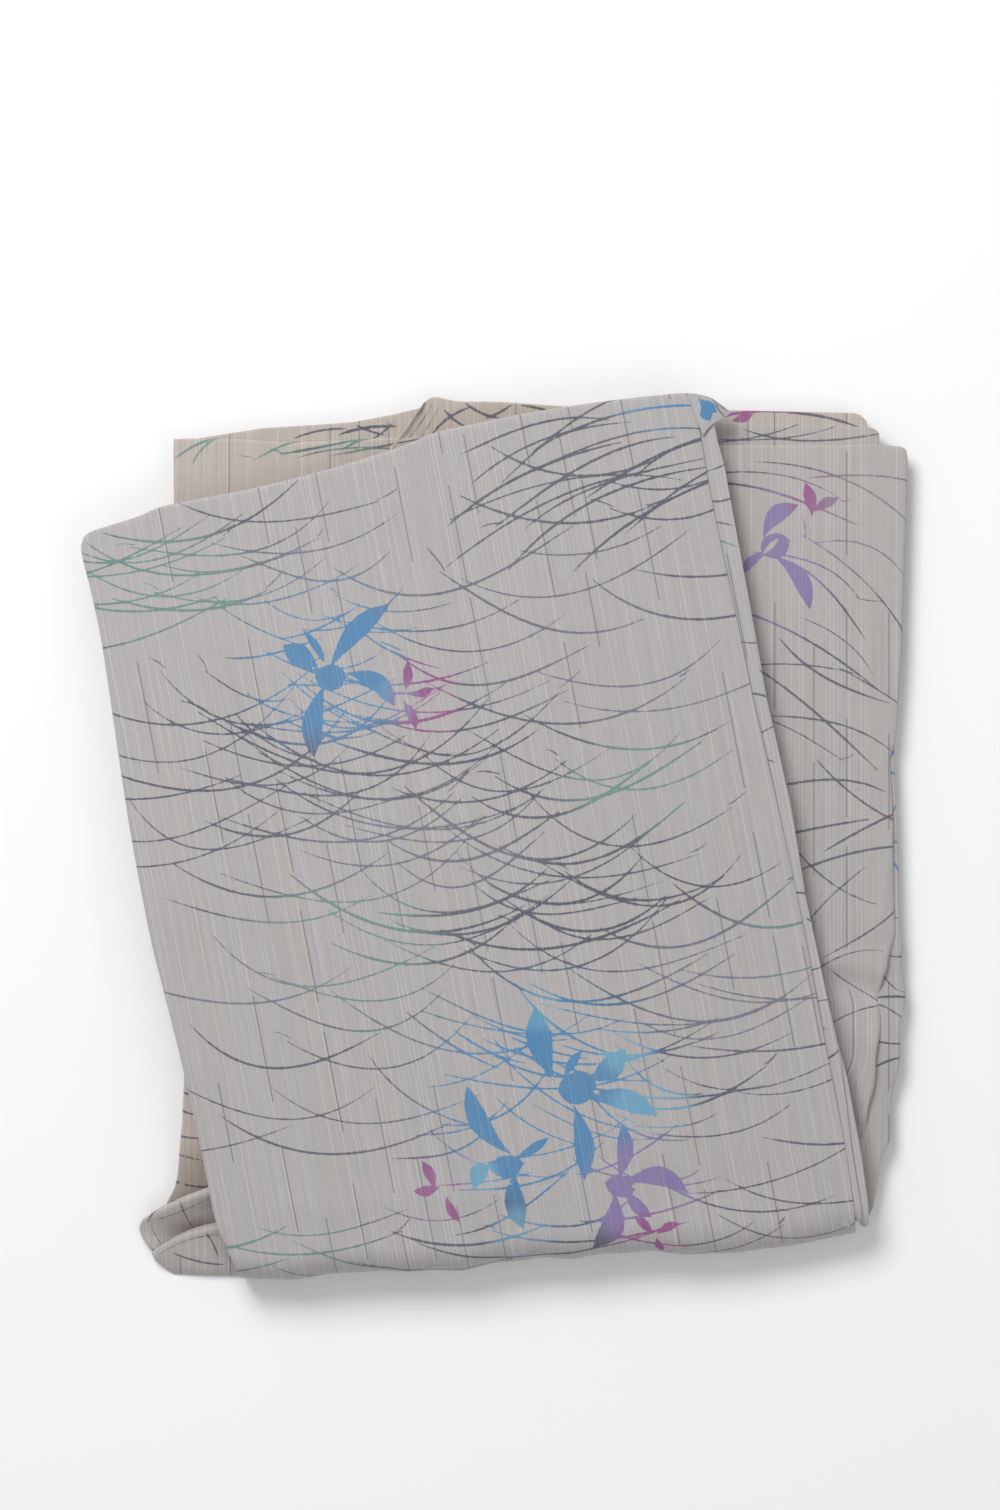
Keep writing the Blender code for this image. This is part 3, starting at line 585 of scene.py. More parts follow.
# The top leaf: the back panel, right over the pile and round the thick fold at the foot.
# Creases are start, end, rise, width and bow. Zones are ink, place, reach and strength
topLook = {
    "width": 288.0, "height": 398.0, "long": 430.0, "cell": 2.0,
    "footFold": 14.6, "leftFold": 3.2, "headFold": 1.5, "openFold": 0.7,
    "footTurn": 172.0, "sideTurn": 150.0, "footWaves": [(0.7, 9, 0.4), (0.45, 4.1, 2)],
    "creases": [
        ((-150, 140), (-60, -60), 0.9, 16, 9), ((-20, 180), (60, -40), -0.7, 20, -12),
        ((-120, -20), (20, -150), 0.8, 18, 10), ((40, 60), (130, -120), 0.8, 17, -8),
        ((-160, 60), (-110, -160), -0.8, 14, 6), ((-100, -176), (10, -168), 0.7, 9, 2),
        ((60, -166), (140, -160), -0.6, 10, -3), ((70, 190), (80, 60), 0.6, 12, 4),
    ],
    "layers": 19, "seed": 11, "tones": {"ghost": 0.24},
    "arcs": [
        ((-140, 134), (54, 24), (6, 3), (70, 120), (0.1, 0.19), (-2, 16), (1, 1.6), 10),
        ((54, 170), (46, 25), (5, 3), (70, 120), (-0.16, -0.06), (8, 30), (1.1, 1.8), 4),
        ((64, 146), (50, 40), (4, 2), (60, 100), (0.06, 0.16), (-16, 14), (1, 1.7)),
        ((-10, 120), (50, 24), (2, 2), (90, 130), (0.12, 0.2), (-2, 14), (1, 1.6)),
        ((-108, 44), (72, 38), (6, 3), (75, 140), (0.14, 0.24), (-8, 12), (1, 1.6)),
        ((20, 74), (96, 22), (3, 3), (80, 130), (0.12, 0.2), (-4, 14), (1, 1.6)),
        ((-8, 14), (88, 50), (8, 4), (70, 122), (0.14, 0.25), (-8, 16), (1, 1.8), -12),
        ((60, -30), (84, 32), (5, 3), (70, 122), (0.12, 0.22), (-6, 16), (1, 1.8), -6),
        ((-66, -60), (70, 36), (5, 2), (80, 130), (0.12, 0.22), (-8, 10), (1, 1.6)),
        ((86, -84), (70, 28), (4, 3), (70, 120), (0.08, 0.17), (-10, 10), (0.9, 1.5)),
        ((-100, -126), (50, 16), (2, 2), (100, 130), (0.14, 0.22), (-6, 6), (1, 1.5)),
        ((-30, -190), (110, 14), (3, 4), (70, 120), (0.08, 0.15), (-6, 12), (1, 1.7)),
        ((120, -150), (44, 40), (5, 2), (56, 100), (0.08, 0.18), (-14, 22), (0.9, 1.6)),
        ((-76, 80), (42, 36), (6, 3), (34, 66), (0.02, 0.16), (-32, 30), (0.8, 1.3)),
        ((26, -128), (60, 48), (8, 4), (36, 72), (0.02, 0.17), (-32, 30), (0.8, 1.4)),
    ],
    "petals": [
        (-84, 75, -70, 75.5, 0.3, 12.6, "disc"), (-77, 80, -50, 109, -3, 9.6),
        (-70, 77, -47, 62, -4.6, 8.6), (-80, 71, -85, 38, 2.8, 9.8), (-83, 78, -99, 90, 0.8, 10.4),
        (-80, 82, -90, 97, 1, 4, "leaf"), (30, -119, 47, -116, 0.2, 15.4, "disc"),
        (27, -113, 19, -80, -1.8, 12), (44, -114, 61, -100, 2, 11), (42, -122, 76, -130, -3.4, 10.4),
        (37, -126, 42, -160, -2.2, 9.6), (33, -112, 41, -100, -1, 4.4, "leaf"),
        (7, -148, -13, -117, -4.2, 9.6), (-2, -155, 13, -153, 0.4, 10.6, "disc"),
        (9, -157, 13, -183, 1.8, 9.8), (-1, -152, -10, -164, 2.2, 8.4), (10, -150, 25, -141, 0.6, 4.8),
        (58, -160, 60, -135, 2.2, 8.2), (61, -162, 90, -166, -5.6, 9), (56, -167, 47, -193, -4.4, 11),
        (61, -166, 73, -178, 0.8, 6.6), (52, -162, 66, -165, 0.3, 10, "disc"), (-42, 69, -41, 82, 0.6, 5),
        (-40, 67, -29, 70, 0.8, 4.6), (-43, 64, -37, 51, -1, 4.6), (-28, -165, -34, -152, 0.8, 5.2),
        (-26, -164, -38, -166, -0.8, 5.4), (-23, -168, -17, -180, 0.8, 4.4),
        (74, -186, 66, -178, 0.5, 4.6), (76, -186, 86, -181, -0.6, 4.6), (76, -188, 80, -198, 0.6, 4),
    ],
    "slits": [
        (-72, 81, -69, 79.6, 1.5), (-69, 76, -65.4, 74.4, 2.2), (-86, 80, -83.8, 78.8, 1.3),
        (-73, 87, -71, 88, 1.4), (46, -119, 49, -120.4, 1.8), (29, -114, 26.4, -112, 1.5),
        (39, -127, 42, -129, 1.6), (45, -113, 47, -111, 1.5), (12, -148, 9, -146, 1.5),
        (5, -161, 8, -163, 1.6), (64, -163, 68, -165, 1.8), (53, -158, 55.4, -160, 1.4),
        (47, -107, 49, -105.6, 1.6), (50, -112, 52.4, -110.6, 1.6), (-6, -152, -3, -153.4, 1.6),
    ],
    "zones": [
        ("green", (-155, 116), (50, 34), 0.85), ("mist", (-70, 120), (46, 36), 0.6),
        ("mist", (60, 74), (80, 26), 0.6), ("green", (-70, -50), (46, 34), 0.9),
        ("green", (72, 26), (42, 26), 0.9), ("green", (-98, -192), (44, 18), 0.8),
        ("mist", (-110, -62), (60, 30), 0.6), ("mist", (-40, -8), (64, 26), 0.5),
        ("mist", (112, -66), (52, 40), 0.65), ("mist", (30, 108), (64, 30), 0.5),
        ("green", (142, -42), (26, 28), 0.7), ("green", (-40, -84), (34, 20), 0.4),
        ("blue", (-78, 82), (44, 44), 1), ("magenta", (-33, 66), (19, 25), 1),
        ("blue", (78, 203), (24, 14), 1), ("blue", (24, -122), (60, 60), 1),
        ("sky", (-47, 64), (12, 12), 0.35), ("sky", (74, -126), (22, 14), 0.8),
        ("sky", (62, -100), (14, 12), 0.8), ("sky", (20, -80), (12, 12), 0.5),
        ("sky", (-9, -160), (12, 12), 0.8), ("sky", (12, -186), (16, 14), 0.6),
        ("purple", (70, -167), (30, 30), 1), ("magenta", (-27, -168), (16, 21), 1),
        ("magenta", (76, -188), (18, 14), 1),
    ],
}


def foldSteps(radius, turn, cell):  # (inset, drop, cloth past the flat part), from under the fold to its top
    steps = max(5, int(math.radians(turn) * radius / cell) + 4)
    angles = np.radians(np.linspace(90 - turn, 90, steps))
    past = radius * (math.pi / 2 - np.cos(angles) - angles)
    return radius * (1 - np.cos(angles)), radius * (1 - np.sin(angles)), past


def foldedSide(size, count, cell, first, last):  # shares of a side, their drop, and the cloth past its folds
    (radius, turn), (lastRadius, lastTurn) = first, last
    inset, drop, past = foldSteps(radius, turn, cell)
    lastInset, lastDrop, lastPast = (steps[::-1][1:] for steps in foldSteps(lastRadius, lastTurn, cell))
    shares = np.r_[inset[:-1], np.linspace(radius, size - lastRadius, count), size - lastInset] / size
    drops = np.r_[drop[:-1], np.zeros(count), lastDrop]
    return shares, drops, np.r_[-past[:-1], np.zeros(count), lastPast]


def buildTopLeaf():
    look = topLook
    left, opened, head = ((look[side + "Fold"], look["sideTurn"]) for side in ("left", "open", "head"))
    foot = (look["footFold"], look["footTurn"])
    columns = int((look["width"] - 4) / look["cell"])
    rows = int((look["height"] - 18) / look["cell"])
    across, dropAcross, pastAcross = foldedSide(look["width"], columns, look["cell"], left, opened)
    down, dropDown, pastDown = foldedSide(look["height"], rows, look["cell"], head, foot)
    headEdge, footEdge = splined(topHead, across), splined(topFoot, across)
    for size, length, start in look["footWaves"]:
        footEdge[:, 1] += size * np.sin(footEdge[:, 0] / length + start) * np.sin(math.pi * across)
    leftEdge, openEdge = splined(topLeft, down), splined(topOpen, down)
    p, q = across[None, :, None], down[:, None, None]
    corners = ((1 - p) * (1 - q) * np.array(topHead[0]) + p * (1 - q) * np.array(topHead[-1])
               + (1 - p) * q * np.array(topFoot[0]) + p * q * np.array(topFoot[-1]))
    plan = (1 - q) * headEdge[None] + q * footEdge[None] + (1 - p) * leftEdge[:, None] + p * openEdge[:, None]
    plan -= corners
    x, y = plan[..., 0], plan[..., 1]
    drop = np.minimum(dropAcross[None, :] + dropDown[:, None], pile["top"] - 0.6)
    z = (pile["top"] - drop) * settle(x, y) + creased(x, y, look["creases"]) * np.exp(-drop / 3.0)
    cosine, sine = math.cos(pile["tilt"]), math.sin(pile["tilt"])
    flat = np.stack([x + pastAcross[None, :] * cosine + pastDown[:, None] * sine,
                     y - pastDown[:, None] * cosine], axis=-1)
    return np.stack([x, y, np.maximum(z, 0.5)], axis=-1), flat


places, flat = buildTopLeaf()
turned = alongWarp(flat, pile["tilt"])
topLeaf = makeSheet("topLeaf", places, turned, flat, topLook)
declare(topLeaf, sheetArea(turned), topLook["long"], ["foldedPlies"], "back_panel")


# Leaves that lie round part of the packet, with their outer edges turned under
bandLook = {
    "cell": 2.0, "columns": 10, "fold": 0.9, "turn": 150.0, "layers": 5, "margin": 4.0, "uneven": 0.35,
    "tilt": 0.0,
}


def bandGrid(look, outer, inner, slant):
    radius = look["fold"]
    inset, drop, past = foldSteps(radius, look["turn"], look["cell"])
    inward = inner - outer
    depth = np.linalg.norm(inward, axis=1)
    inward /= depth[:, None]
    columns, flats = [], []
    for step in range(len(inset) - 1):
        reach = outer + inward * (inset[step] * slant)[:, None]
        columns.append(np.column_stack([reach, np.full(len(outer), look["top"] - drop[step])]))
        flats.append(reach - inward * past[step])
    for share in np.linspace(0, 1, look["columns"]):
        reach = outer + inward * (radius * slant + (depth - radius * slant) * share)[:, None]
        columns.append(np.column_stack([reach, np.full(len(outer), look["top"])]))
        flats.append(reach)
    places, flat = np.stack(columns, axis=1), np.stack(flats, axis=1)
    x, y = places[..., 0], places[..., 1]
    away = np.linalg.norm(places[..., :2] - outer[:, None], axis=2) / slant[:, None]
    for shift, start, end in look.get("sway", ()):  # the cloth drifts sideways down the leaf
        flat[..., 0] += shift * smoothStep(-y, start, end)
    if "hem" in look:
        hem = look["hem"]
        rise = hem["rise"] * (1 - smoothStep(away, hem["width"] - 0.5, hem["width"] + 0.5))
        places[..., 2] += rise * (places[..., 2] > look["top"] - radius * 1.01)
    if "dip" in look:
        places[..., 2] -= look["dip"]["depth"] * smoothStep(-y, *look["dip"]["between"]) * (x < 0)
    if "foot" in look:
        near = np.clip(1 - (y - look["foot"]["edge"]) / look["foot"]["radius"], 0.0, 0.96)
        places[..., 2] -= look["foot"]["radius"] * (1 - np.sqrt(1 - near ** 2))
    if "roll" in look:  # the first rows turn down too, where the leaf is folded back along its end
        roll = look["roll"]
        along = np.linalg.norm(places[..., :2] - places[:1, :, :2], axis=2)
        places[..., 2] += roll["rise"] * np.exp(-((along - roll["width"]) / roll["width"]) ** 2)
        places[..., 2] -= roll["drop"] * (1 - smoothStep(along, 0.0, 1.3))
    places[..., 2] = places[..., 2] * settle(x, y) + creased(x, y, look.get("creases", []))
    return places, flat


def bandEdges(look):  # outer and inner edge of a leaf that follows an outline round the packet
    first, last = np.radians(look["between"])
    angles = np.linspace(first, last, int(abs(last - first) * pile["reach"] / look["cell"]))
    degrees = np.degrees(angles)
    reach = reachOf(look["outline"], angles)
    inward = look["inside"](angles) if "inside" in look else reach - look.get("tuck", pile["tuck"])
    outward = reach + wobble(look["seed"], angles, look["uneven"])
    for size, turns, start, end in look.get("waves", ()):
        outward += size * plateau(degrees, start, start + 4, end - 4, end) * np.sin(turns * angles)
    rays = raysAt(angles)
    return rays * outward[:, None], rays * inward[:, None], slantOf(lowerLeaf, angles)


def makeBand(name, look, restsOn, *nodes):
    look = {**bandLook, **look}
    if "outline" in look:
        outside, inside, slant = bandEdges(look)
    else:
        shares = np.linspace(0, 1, look["rows"])
        outside, inside = splined(look["outer"], shares), splined(look["inner"], shares)
        slant = np.ones(look["rows"])
    places, flat = bandGrid(look, outside, inside, slant)
    piece = makeSheet(name, places, alongWarp(flat, look["tilt"]), flat, look)
    length = float(np.linalg.norm(np.diff(places[:, 0, :2], axis=0), axis=1).sum())
    declare(piece, sheetArea(flat), length, restsOn, *nodes)


def upperReach(angles):  # the upper packet's own edge, under its top leaf and overlaps
    right = (np.cos(angles) > 0.25) & (np.sin(angles) < 0.91) & (np.sin(angles) > -0.74)
    inset = np.where(right, 1.5, 2.0) * slantOf(topOutline, angles)
    return reachOf(overlapOutline, angles) - inset


def slotReach(angles):
    return np.minimum(upperReach(angles), reachOf(lowerLeaf, angles) - 13.0) + 0.5


def mouthDepth(angles):  # how much further in the pile is open behind the mouth
    return pile["mouthDepth"] * plateau(np.degrees(angles), *pile["mouth"])


def frontInside(angles):
    return np.minimum(slotReach(angles), reachOf(frontOutline, angles) - 24.0) - mouthDepth(angles)


sleeveLook = {
    "outline": lowerLeaf, "inside": slotReach, "between": (-45.6, 63.0), "cell": 1.8, "columns": 60,
    "fold": 1.7, "top": 14.1, "seed": 5, "layers": 12, "margin": 3.6, "waves": [(0.8, 52, -42, -14)],
    "creases": [
        ((150, -58), (190, -66), 1.1, 5, 2), ((146, -68), (188, -78), -1.5, 6, 2),
        ((156, -92), (170, -150), -2.4, 5, -2), ((179, -92), (174, -138), 1.9, 3.6, 2),
        ((184, -74), (180, -128), -1, 2.2, 2), ((172, -136), (180, -150), -1.6, 4, 0),
        ((171, -88), (173, -126), 1.1, 2.2, 0), ((176, -146), (172, -178), 1.2, 2.6, 0),
        ((184, -52), (182, -76), 1.3, 2.6, 1), ((189, 30), (180, -50), 0.8, 3, 2),
        ((120, 120), (186, 60), 0.6, 14, 8), ((150, 30), (190, 10), -0.6, 10, 0),
    ],
    "sway": [(-3, 66, 80), (5, 102, 120), (-1.6, 124, 136), (6, 142, 160), (3, 166, 180)],
    "arcs": [
        ((148, 160), (34, 14), (2, 2), (60, 105), (-0.19, -0.07), (-30, -8), (0.9, 1.6)),
        ((160, 110), (28, 26), (3, 2), (45, 90), (-0.18, -0.06), (-48, -18), (0.8, 1.5)),
        ((160, 60), (28, 24), (3, 2), (40, 80), (-0.15, 0.1), (-42, 20), (0.8, 1.6)),
        ((168, 4), (22, 22), (3, 2), (35, 70), (-0.13, 0.13), (-50, 40), (0.9, 1.6)),
        ((172, -60), (16, 40), (5, 1), (30, 60), (-0.13, 0.16), (-40, 50), (0.8, 1.4)),
    ],
    "petals": [
        (126, 136, 139, 140, 0.4, 12, "disc"), (127, 142, 143, 157, -3.4, 8.6),
        (133, 132, 149, 108, -4, 8), (129, 135, 116, 124, 1.4, 5), (150, 152, 147, 167, 0.8, 6.2),
        (151, 154, 162, 160, -0.8, 5.4),
    ],
    "slits": [(127, 134, 134, 141, 2.6), (134, 146, 140, 151, 2)],
    "zones": [
        ("purple", (136, 132), (28, 40), 1), ("magenta", (154, 160), (17, 15), 1),
        ("mist", (176, 150), (26, 40), 0.7),
    ],
    "tones": {"cool": (0.436, 0.423, 0.428), "warm": (0.474, 0.433, 0.405), "ghost": 0.1},
}
makeBand("sleeveLeaf", sleeveLook, ["underSleeve"], "sleeve_upper")

frontLook = {
    "outline": frontOutline, "inside": frontInside, "between": (92.0, 232.8), "columns": 24, "fold": 1.3,
    "top": 14.0, "seed": 8, "layers": 6, "dip": {"depth": 8.5, "between": (142.0, 182.0)},
    "arcs": [
        ((-60, 184), (40, 5), (2, 3), (30, 60), (-0.1, 0.08), (2, 22), (1, 1.7)),
        ((-146, -132), (6, 34), (6, 1), (24, 44), (0.03, 0.12), (-24, 8), (1.1, 1.6)),
    ],
    "lines": [
        (-152, 178, -112, 190, -4.5, 1.5), (-143, 176, -132, 188, -1.5, 1.1),
        (-72, 183, -48, 190, -2, 1.3),
    ],
    "zones": [("green", (-134, 184), (46, 20), 0.95), ("green", (-70, 186), (16, 10), 0.7)],
    # painted shade in the hollow behind the mouth's rim
    "paintedShades": [(-140, -166, 26, 30, 0.5)],
    "tones": {"cool": (0.470, 0.440, 0.420), "warm": (0.520, 0.454, 0.402), "warmth": 0.15, "ghost": 0.06},
}
makeBand("frontLeaf", frontLook, ["foldedPlies"], "front_panel")

underLook = {
    "outline": underLeaf, "between": (-45.4, 66.0), "top": 12.2, "seed": 14, "waves": [(0.9, 46, -42, -12)],
    "arcs": [
        ((140, 191), (26, 4), (1, 3), (50, 80), (0.05, 0.09), (-4, 10), (0.9, 1.5)),
        ((189, 20), (3, 60), (8, 1), (12, 26), (-0.16, 0.16), (-70, 60), (0.9, 1.9)),
        ((188, -80), (3, 30), (6, 1), (12, 26), (-0.16, 0.16), (-70, 60), (0.9, 1.7)),
    ],
    "zones": [("blue", (190, 14), (14, 44), 1)],
    "tones": {"cool": (0.430, 0.416, 0.415), "warm": (0.480, 0.430, 0.392), "ghost": 0.05},
}
makeBand("underSleeve", underLook, ["foldedPlies"], "sleeve_under")

edgeTones = {"cool": (0.450, 0.425, 0.408), "warm": (0.505, 0.440, 0.388), "warmth": 0.1, "ghost": 0.05}
behindLook = {
    "outline": underLeaf, "between": (96.0, 129.6), "fold": 0.7, "top": 12.0, "seed": 23, "uneven": 0.5,
    "lines": [
        (-74, 190, -46, 194, -1.6, 1.6), (-66, 195, -52, 190, 0.6, 1.3), (-58, 188, -48, 196, 0.5, 1.1),
        (-96, 188, -70, 193, -1.5, 1.2),
    ],
    "tones": edgeTones,
}
makeBand("behindLeaf", behindLook, ["foldedPlies"])

thirdLook = {
    "outline": thirdLeaf, "tuck": 18.0, "between": (42.6, 67.0), "columns": 9, "fold": 0.7, "top": 11.5,
    "seed": 25, "layers": 4, "petals": [(112, 197, 122, 200, 0.5, 4.4)],
    "lines": [(104, 198, 146, 200, -2.6, 1.6), (138, 201, 172, 194, -1.4, 1.6)],
    "zones": [("magenta", (118, 200), (26, 14), 1)],
    "tones": edgeTones,
}
makeBand("thirdSleeve", thirdLook, ["foldedPlies"])

collarLook = {
    "rows": 72, "columns": 16, "top": 12.6, "seed": 21, "roll": {"rise": 2.0, "width": 2.4, "drop": 2.6},
    "outer": [
        (-35.4, 201.8), (-33.6, 205), (-31.2, 207.2), (-28, 208.1), (-23.5, 207.2), (-16.5, 206),
        (1.4, 205.8), (20, 204.6), (37, 203.4), (60, 200.6), (74, 199.4),
    ],
    "inner": [
        (-54, 180), (-51, 180), (-47.6, 180), (-44, 180.4), (-38, 181), (-30, 182), (-10, 185), (10, 187),
        (30, 188.5), (54, 188.5), (70, 188),
    ],
    "lines": [
        (-42.4, 186.5, -29.6, 204.6, 0.6, 0.55), (-38.6, 184, -26, 204, 0.6, 0.5),
        (-30, 190, -12, 203, -1.8, 1.5), (-24, 202, -14, 194, 0.8, 1.5), (-14, 205, 2, 198, 1.2, 1.5),
        (-4, 198, 8, 204.5, 0.6, 1.3), (12, 204, 30, 199, -1, 1.4), (24, 197, 36, 203, 0.6, 1.2),
    ],
    "tones": {"cool": (0.450, 0.425, 0.402), "warm": (0.515, 0.448, 0.385), "warmth": 0.2, "ghost": 0.05},
}
makeBand("collarBand", collarLook, ["foldedPlies"], "collar")

overlapLook = {
    "outline": overlapOutline, "tilt": pile["tilt"], "between": (-46.6, 63.6), "columns": 16, "fold": 0.7,
    "turn": 160.0, "top": 28.35, "seed": 31, "layers": 4, "margin": brush["margin"], "uneven": 0.3,
    "hem": {"width": 5.2, "rise": 0.45}, "foot": {"edge": -187.2, "radius": 14.6},
    "arcs": [
        ((106, 150), (4, 30), (5, 1), (10, 22), (-0.12, 0.12), (-30, 40), (0.9, 1.5)),
        ((125, 70), (5, 40), (6, 1), (10, 22), (-0.12, 0.12), (-30, 40), (0.9, 1.5)),
        ((150, -60), (6, 70), (9, 1), (10, 22), (-0.12, 0.12), (-30, 40), (0.8, 1.4)),
    ],
    "zones": [("green", (116, 132), (20, 16), 1)],
}
makeBand("upperOverlap", overlapLook, ["foldedPlies"], "overlap_upper")
fannedLook = {
    **overlapLook, "outline": fannedOutline, "between": (-46.6, 16.0), "top": 26.5, "seed": 37, "zones": [],
    "inside": lambda angles: reachOf(overlapOutline, angles) - pile["tuck"],
}
makeBand("underOverlap", fannedLook, ["foldedPlies"], "overlap_under")


# Small leaves drawn through rows of points: the turned corner and the hems of the mouth
def smoothGrid(rows, down, across):
    rows = np.array(rows, float)
    shares = np.linspace(0, 1, across)
    wide = np.stack([splined(row, shares) for row in rows])
    return np.stack([splined(wide[:, k], np.linspace(0, 1, down)) for k in range(across)], axis=1)


def makeSmallLeaf(name, look, *nodes):
    places = smoothGrid(look["rows"], look["down"], look["across"])
    flat = places[..., :2].copy()
    places[..., 2] *= settle(flat[..., 0], flat[..., 1])
    piece = makeSheet(name, places, alongWarp(flat, look.get("tilt", 0.0)), flat, look)
    length = float(np.linalg.norm(np.diff(places[0], axis=0), axis=1).sum())
    declare(piece, sheetArea(places), max(length, 12.0), ["foldedPlies"], *nodes)


makeSmallLeaf("turnedCorner", {
    "rows": [
        [(89.8, 208.9, 30.1), (92.4, 202.6, 30.3), (95, 196, 30.3), (97.8, 188.6, 30)],
        [(94.8, 208.4, 30.5), (96.6, 203.2, 30.8), (98.2, 198, 30.7), (99.8, 191.4, 30.2)],
        [(101.2, 206.8, 29.9), (101.8, 203.4, 30.4), (102.2, 199.4, 30.3), (102.6, 194.2, 29.9)],
        [(106.6, 203.4, 29.3), (106.4, 201.4, 29.7), (106.2, 199, 29.7), (105.4, 196, 29.5)],
        [(111, 199.9, 28.7), (110.6, 199.3, 28.8), (110, 198.6, 28.8), (108.6, 197.6, 28.8)],
    ],
    "down": 26, "across": 28, "layers": 5, "seed": 3, "tilt": -0.5,
    "petals": [(96, 206, 104, 200, 0.5, 6), (98, 204, 101, 196, 0.5, 6)],
    "lines": [
        (99, 190.8, 109.6, 198.8, 0.3, 0.5), (101, 207, 110, 200, 0.3, 0.5), (103, 205, 108, 198, 0.5, 1),
    ],
    "zones": [("blue", (97, 203), (9, 11), 1)],
}, "overlap_corner")
hemTones = {"cool": (0.460, 0.444, 0.436), "warm": (0.504, 0.452, 0.416), "ghost": 0.05}
makeSmallLeaf("upperHem", {
    "rows": [
        [(-163.8, -180, 2), (-162.6, -178.4, 8.4), (-155.6, -174, 10.4),
         (-147.3, -170.2, 11.4), (-138, -166.6, 11.9), (-126, -162.6, 12)],
        [(-166.4, -181.6, 1.2), (-165.2, -180.2, 9.5), (-156.6, -176.2, 12),
         (-147.7, -172.4, 12.9), (-137.6, -168.8, 13.3), (-126, -165, 13.3)],
        [(-168.2, -183.8, 1), (-167, -182.6, 8.6), (-157.5, -179, 10.9),
         (-147.7, -175.4, 11.6), (-137.2, -171.8, 12), (-125.6, -168, 12)],
        [(-168.6, -187.2, 0.9), (-167.7, -186, 6.8), (-158.2, -184.2, 7.2),
         (-147.5, -181.2, 7.2), (-136.5, -177.8, 7.4), (-125, -174, 7.4)],
        [(-167, -191.4, 0.9), (-166.2, -190.4, 5.6), (-157.8, -189.8, 4.4),
         (-147, -187.4, 3.7), (-135.5, -184.4, 3.5), (-124, -181, 3.5)],
        [(-163.2, -196.6, 0.9), (-162, -195.8, 5.2), (-156, -195.4, 3.6),
         (-146, -194, 3), (-134.6, -191.5, 2.8), (-123, -188, 2.8)],
    ],
    "down": 54, "across": 50, "layers": 5, "seed": 4, "tones": hemTones,
    "lines": [
        (-165, -183, -150, -172, -2.4, 1), (-149, -172, -143, -186, 0.8, 0.8),
        (-164.6, -182.4, -130, -167.4, 1.8, 0.45), (-163, -184, -158, -194, 0.6, 0.6),
    ],
    # painted shade in the hollow between the two hems
    "paintedShades": [(-142, -186, 24, 9, 0.75)],
}, "front_hem_upper")
makeSmallLeaf("lowerHem", {
    "rows": [
        [(-161.6, -196.4, 1), (-160.4, -195.2, 5.6), (-151, -189.2, 6.4),
         (-141.5, -185.2, 6.8), (-131, -182.6, 7), (-122, -180.8, 7)],
        [(-162.8, -197.8, 1), (-161.6, -196.6, 7.6), (-151.6, -190.8, 11),
         (-141.8, -187, 12.2), (-131, -184.6, 12.6), (-122, -182.8, 12.6)],
        [(-162, -200.6, 1), (-160.8, -199.4, 7), (-151.8, -195.4, 9.8),
         (-142, -192, 10.8), (-130.6, -189.8, 11.3), (-121, -188, 11.3)],
        [(-159.4, -203, 0.8), (-158.2, -202, 5.6), (-149.5, -199.8, 7.8),
         (-140, -198, 8.9), (-128.6, -196.4, 9.4), (-119.6, -195, 9.4)],
        [(-155.8, -206.2, 0.6), (-154.6, -205.4, 3.2), (-146, -205.6, 4.6),
         (-137, -205.6, 5.4), (-126, -205, 5.8), (-118, -204.6, 5.8)],
        [(-152.4, -208.2, 0.4), (-151.6, -208, 0.7), (-144, -208.4, 0.9),
         (-136, -208.6, 1.1), (-124, -208.8, 1.3), (-117, -208.8, 1.3)],
    ],
    "down": 54, "across": 50, "layers": 5, "seed": 6, "tones": hemTones,
    "lines": [
        (-153, -197, -128, -203, 1.4, 1.2), (-137, -187, -131, -200, -0.8, 1),
        (-160.4, -199, -124, -188.4, -3.6, 0.5),
    ],
}, "front_hem_lower")

# The hidden plies: one body whose edge shows ply after ply
pliesLook = {
    "directions": 560, "layers": 6, "seed": 77, "margin": 5.0, "uneven": 1.1,
    "thick": (1.0, 2.0), "gap": (0.45, 0.95), "gapShare": 0.5, "step": (-2.9, 0.2),
    "lowerTop": 12.0, "slot": (12.1, 14.32), "upperTop": 28.3,  # heights
    "mouthLevels": (2.4, 5.0, 7.6, 9.4), "packets": ((0.0, 12.2), (12.2, 28.2)),
    "foot": (238.5, 241.5, 310.0, 312.5), "core": 13.0,  # directions of the foot fold, and its inside
    "arcs": [((0, 0), (240, 240), (8, 7), (50, 110), (-0.18, 0.2), (-70, 70), (1.2, 2.2))],
    "zones": [
        ("blue", (200, 20), (60, 70), 1), ("purple", (-190, -40), (50, 60), 1),
        ("green", (-60, 230), (70, 60), 1), ("magenta", (120, 210), (40, 40), 1),
    ],
    "tones": {"cool": (0.405, 0.395, 0.400), "warm": (0.460, 0.405, 0.365), "warmth": 0.1, "ghost": 0.05},
}


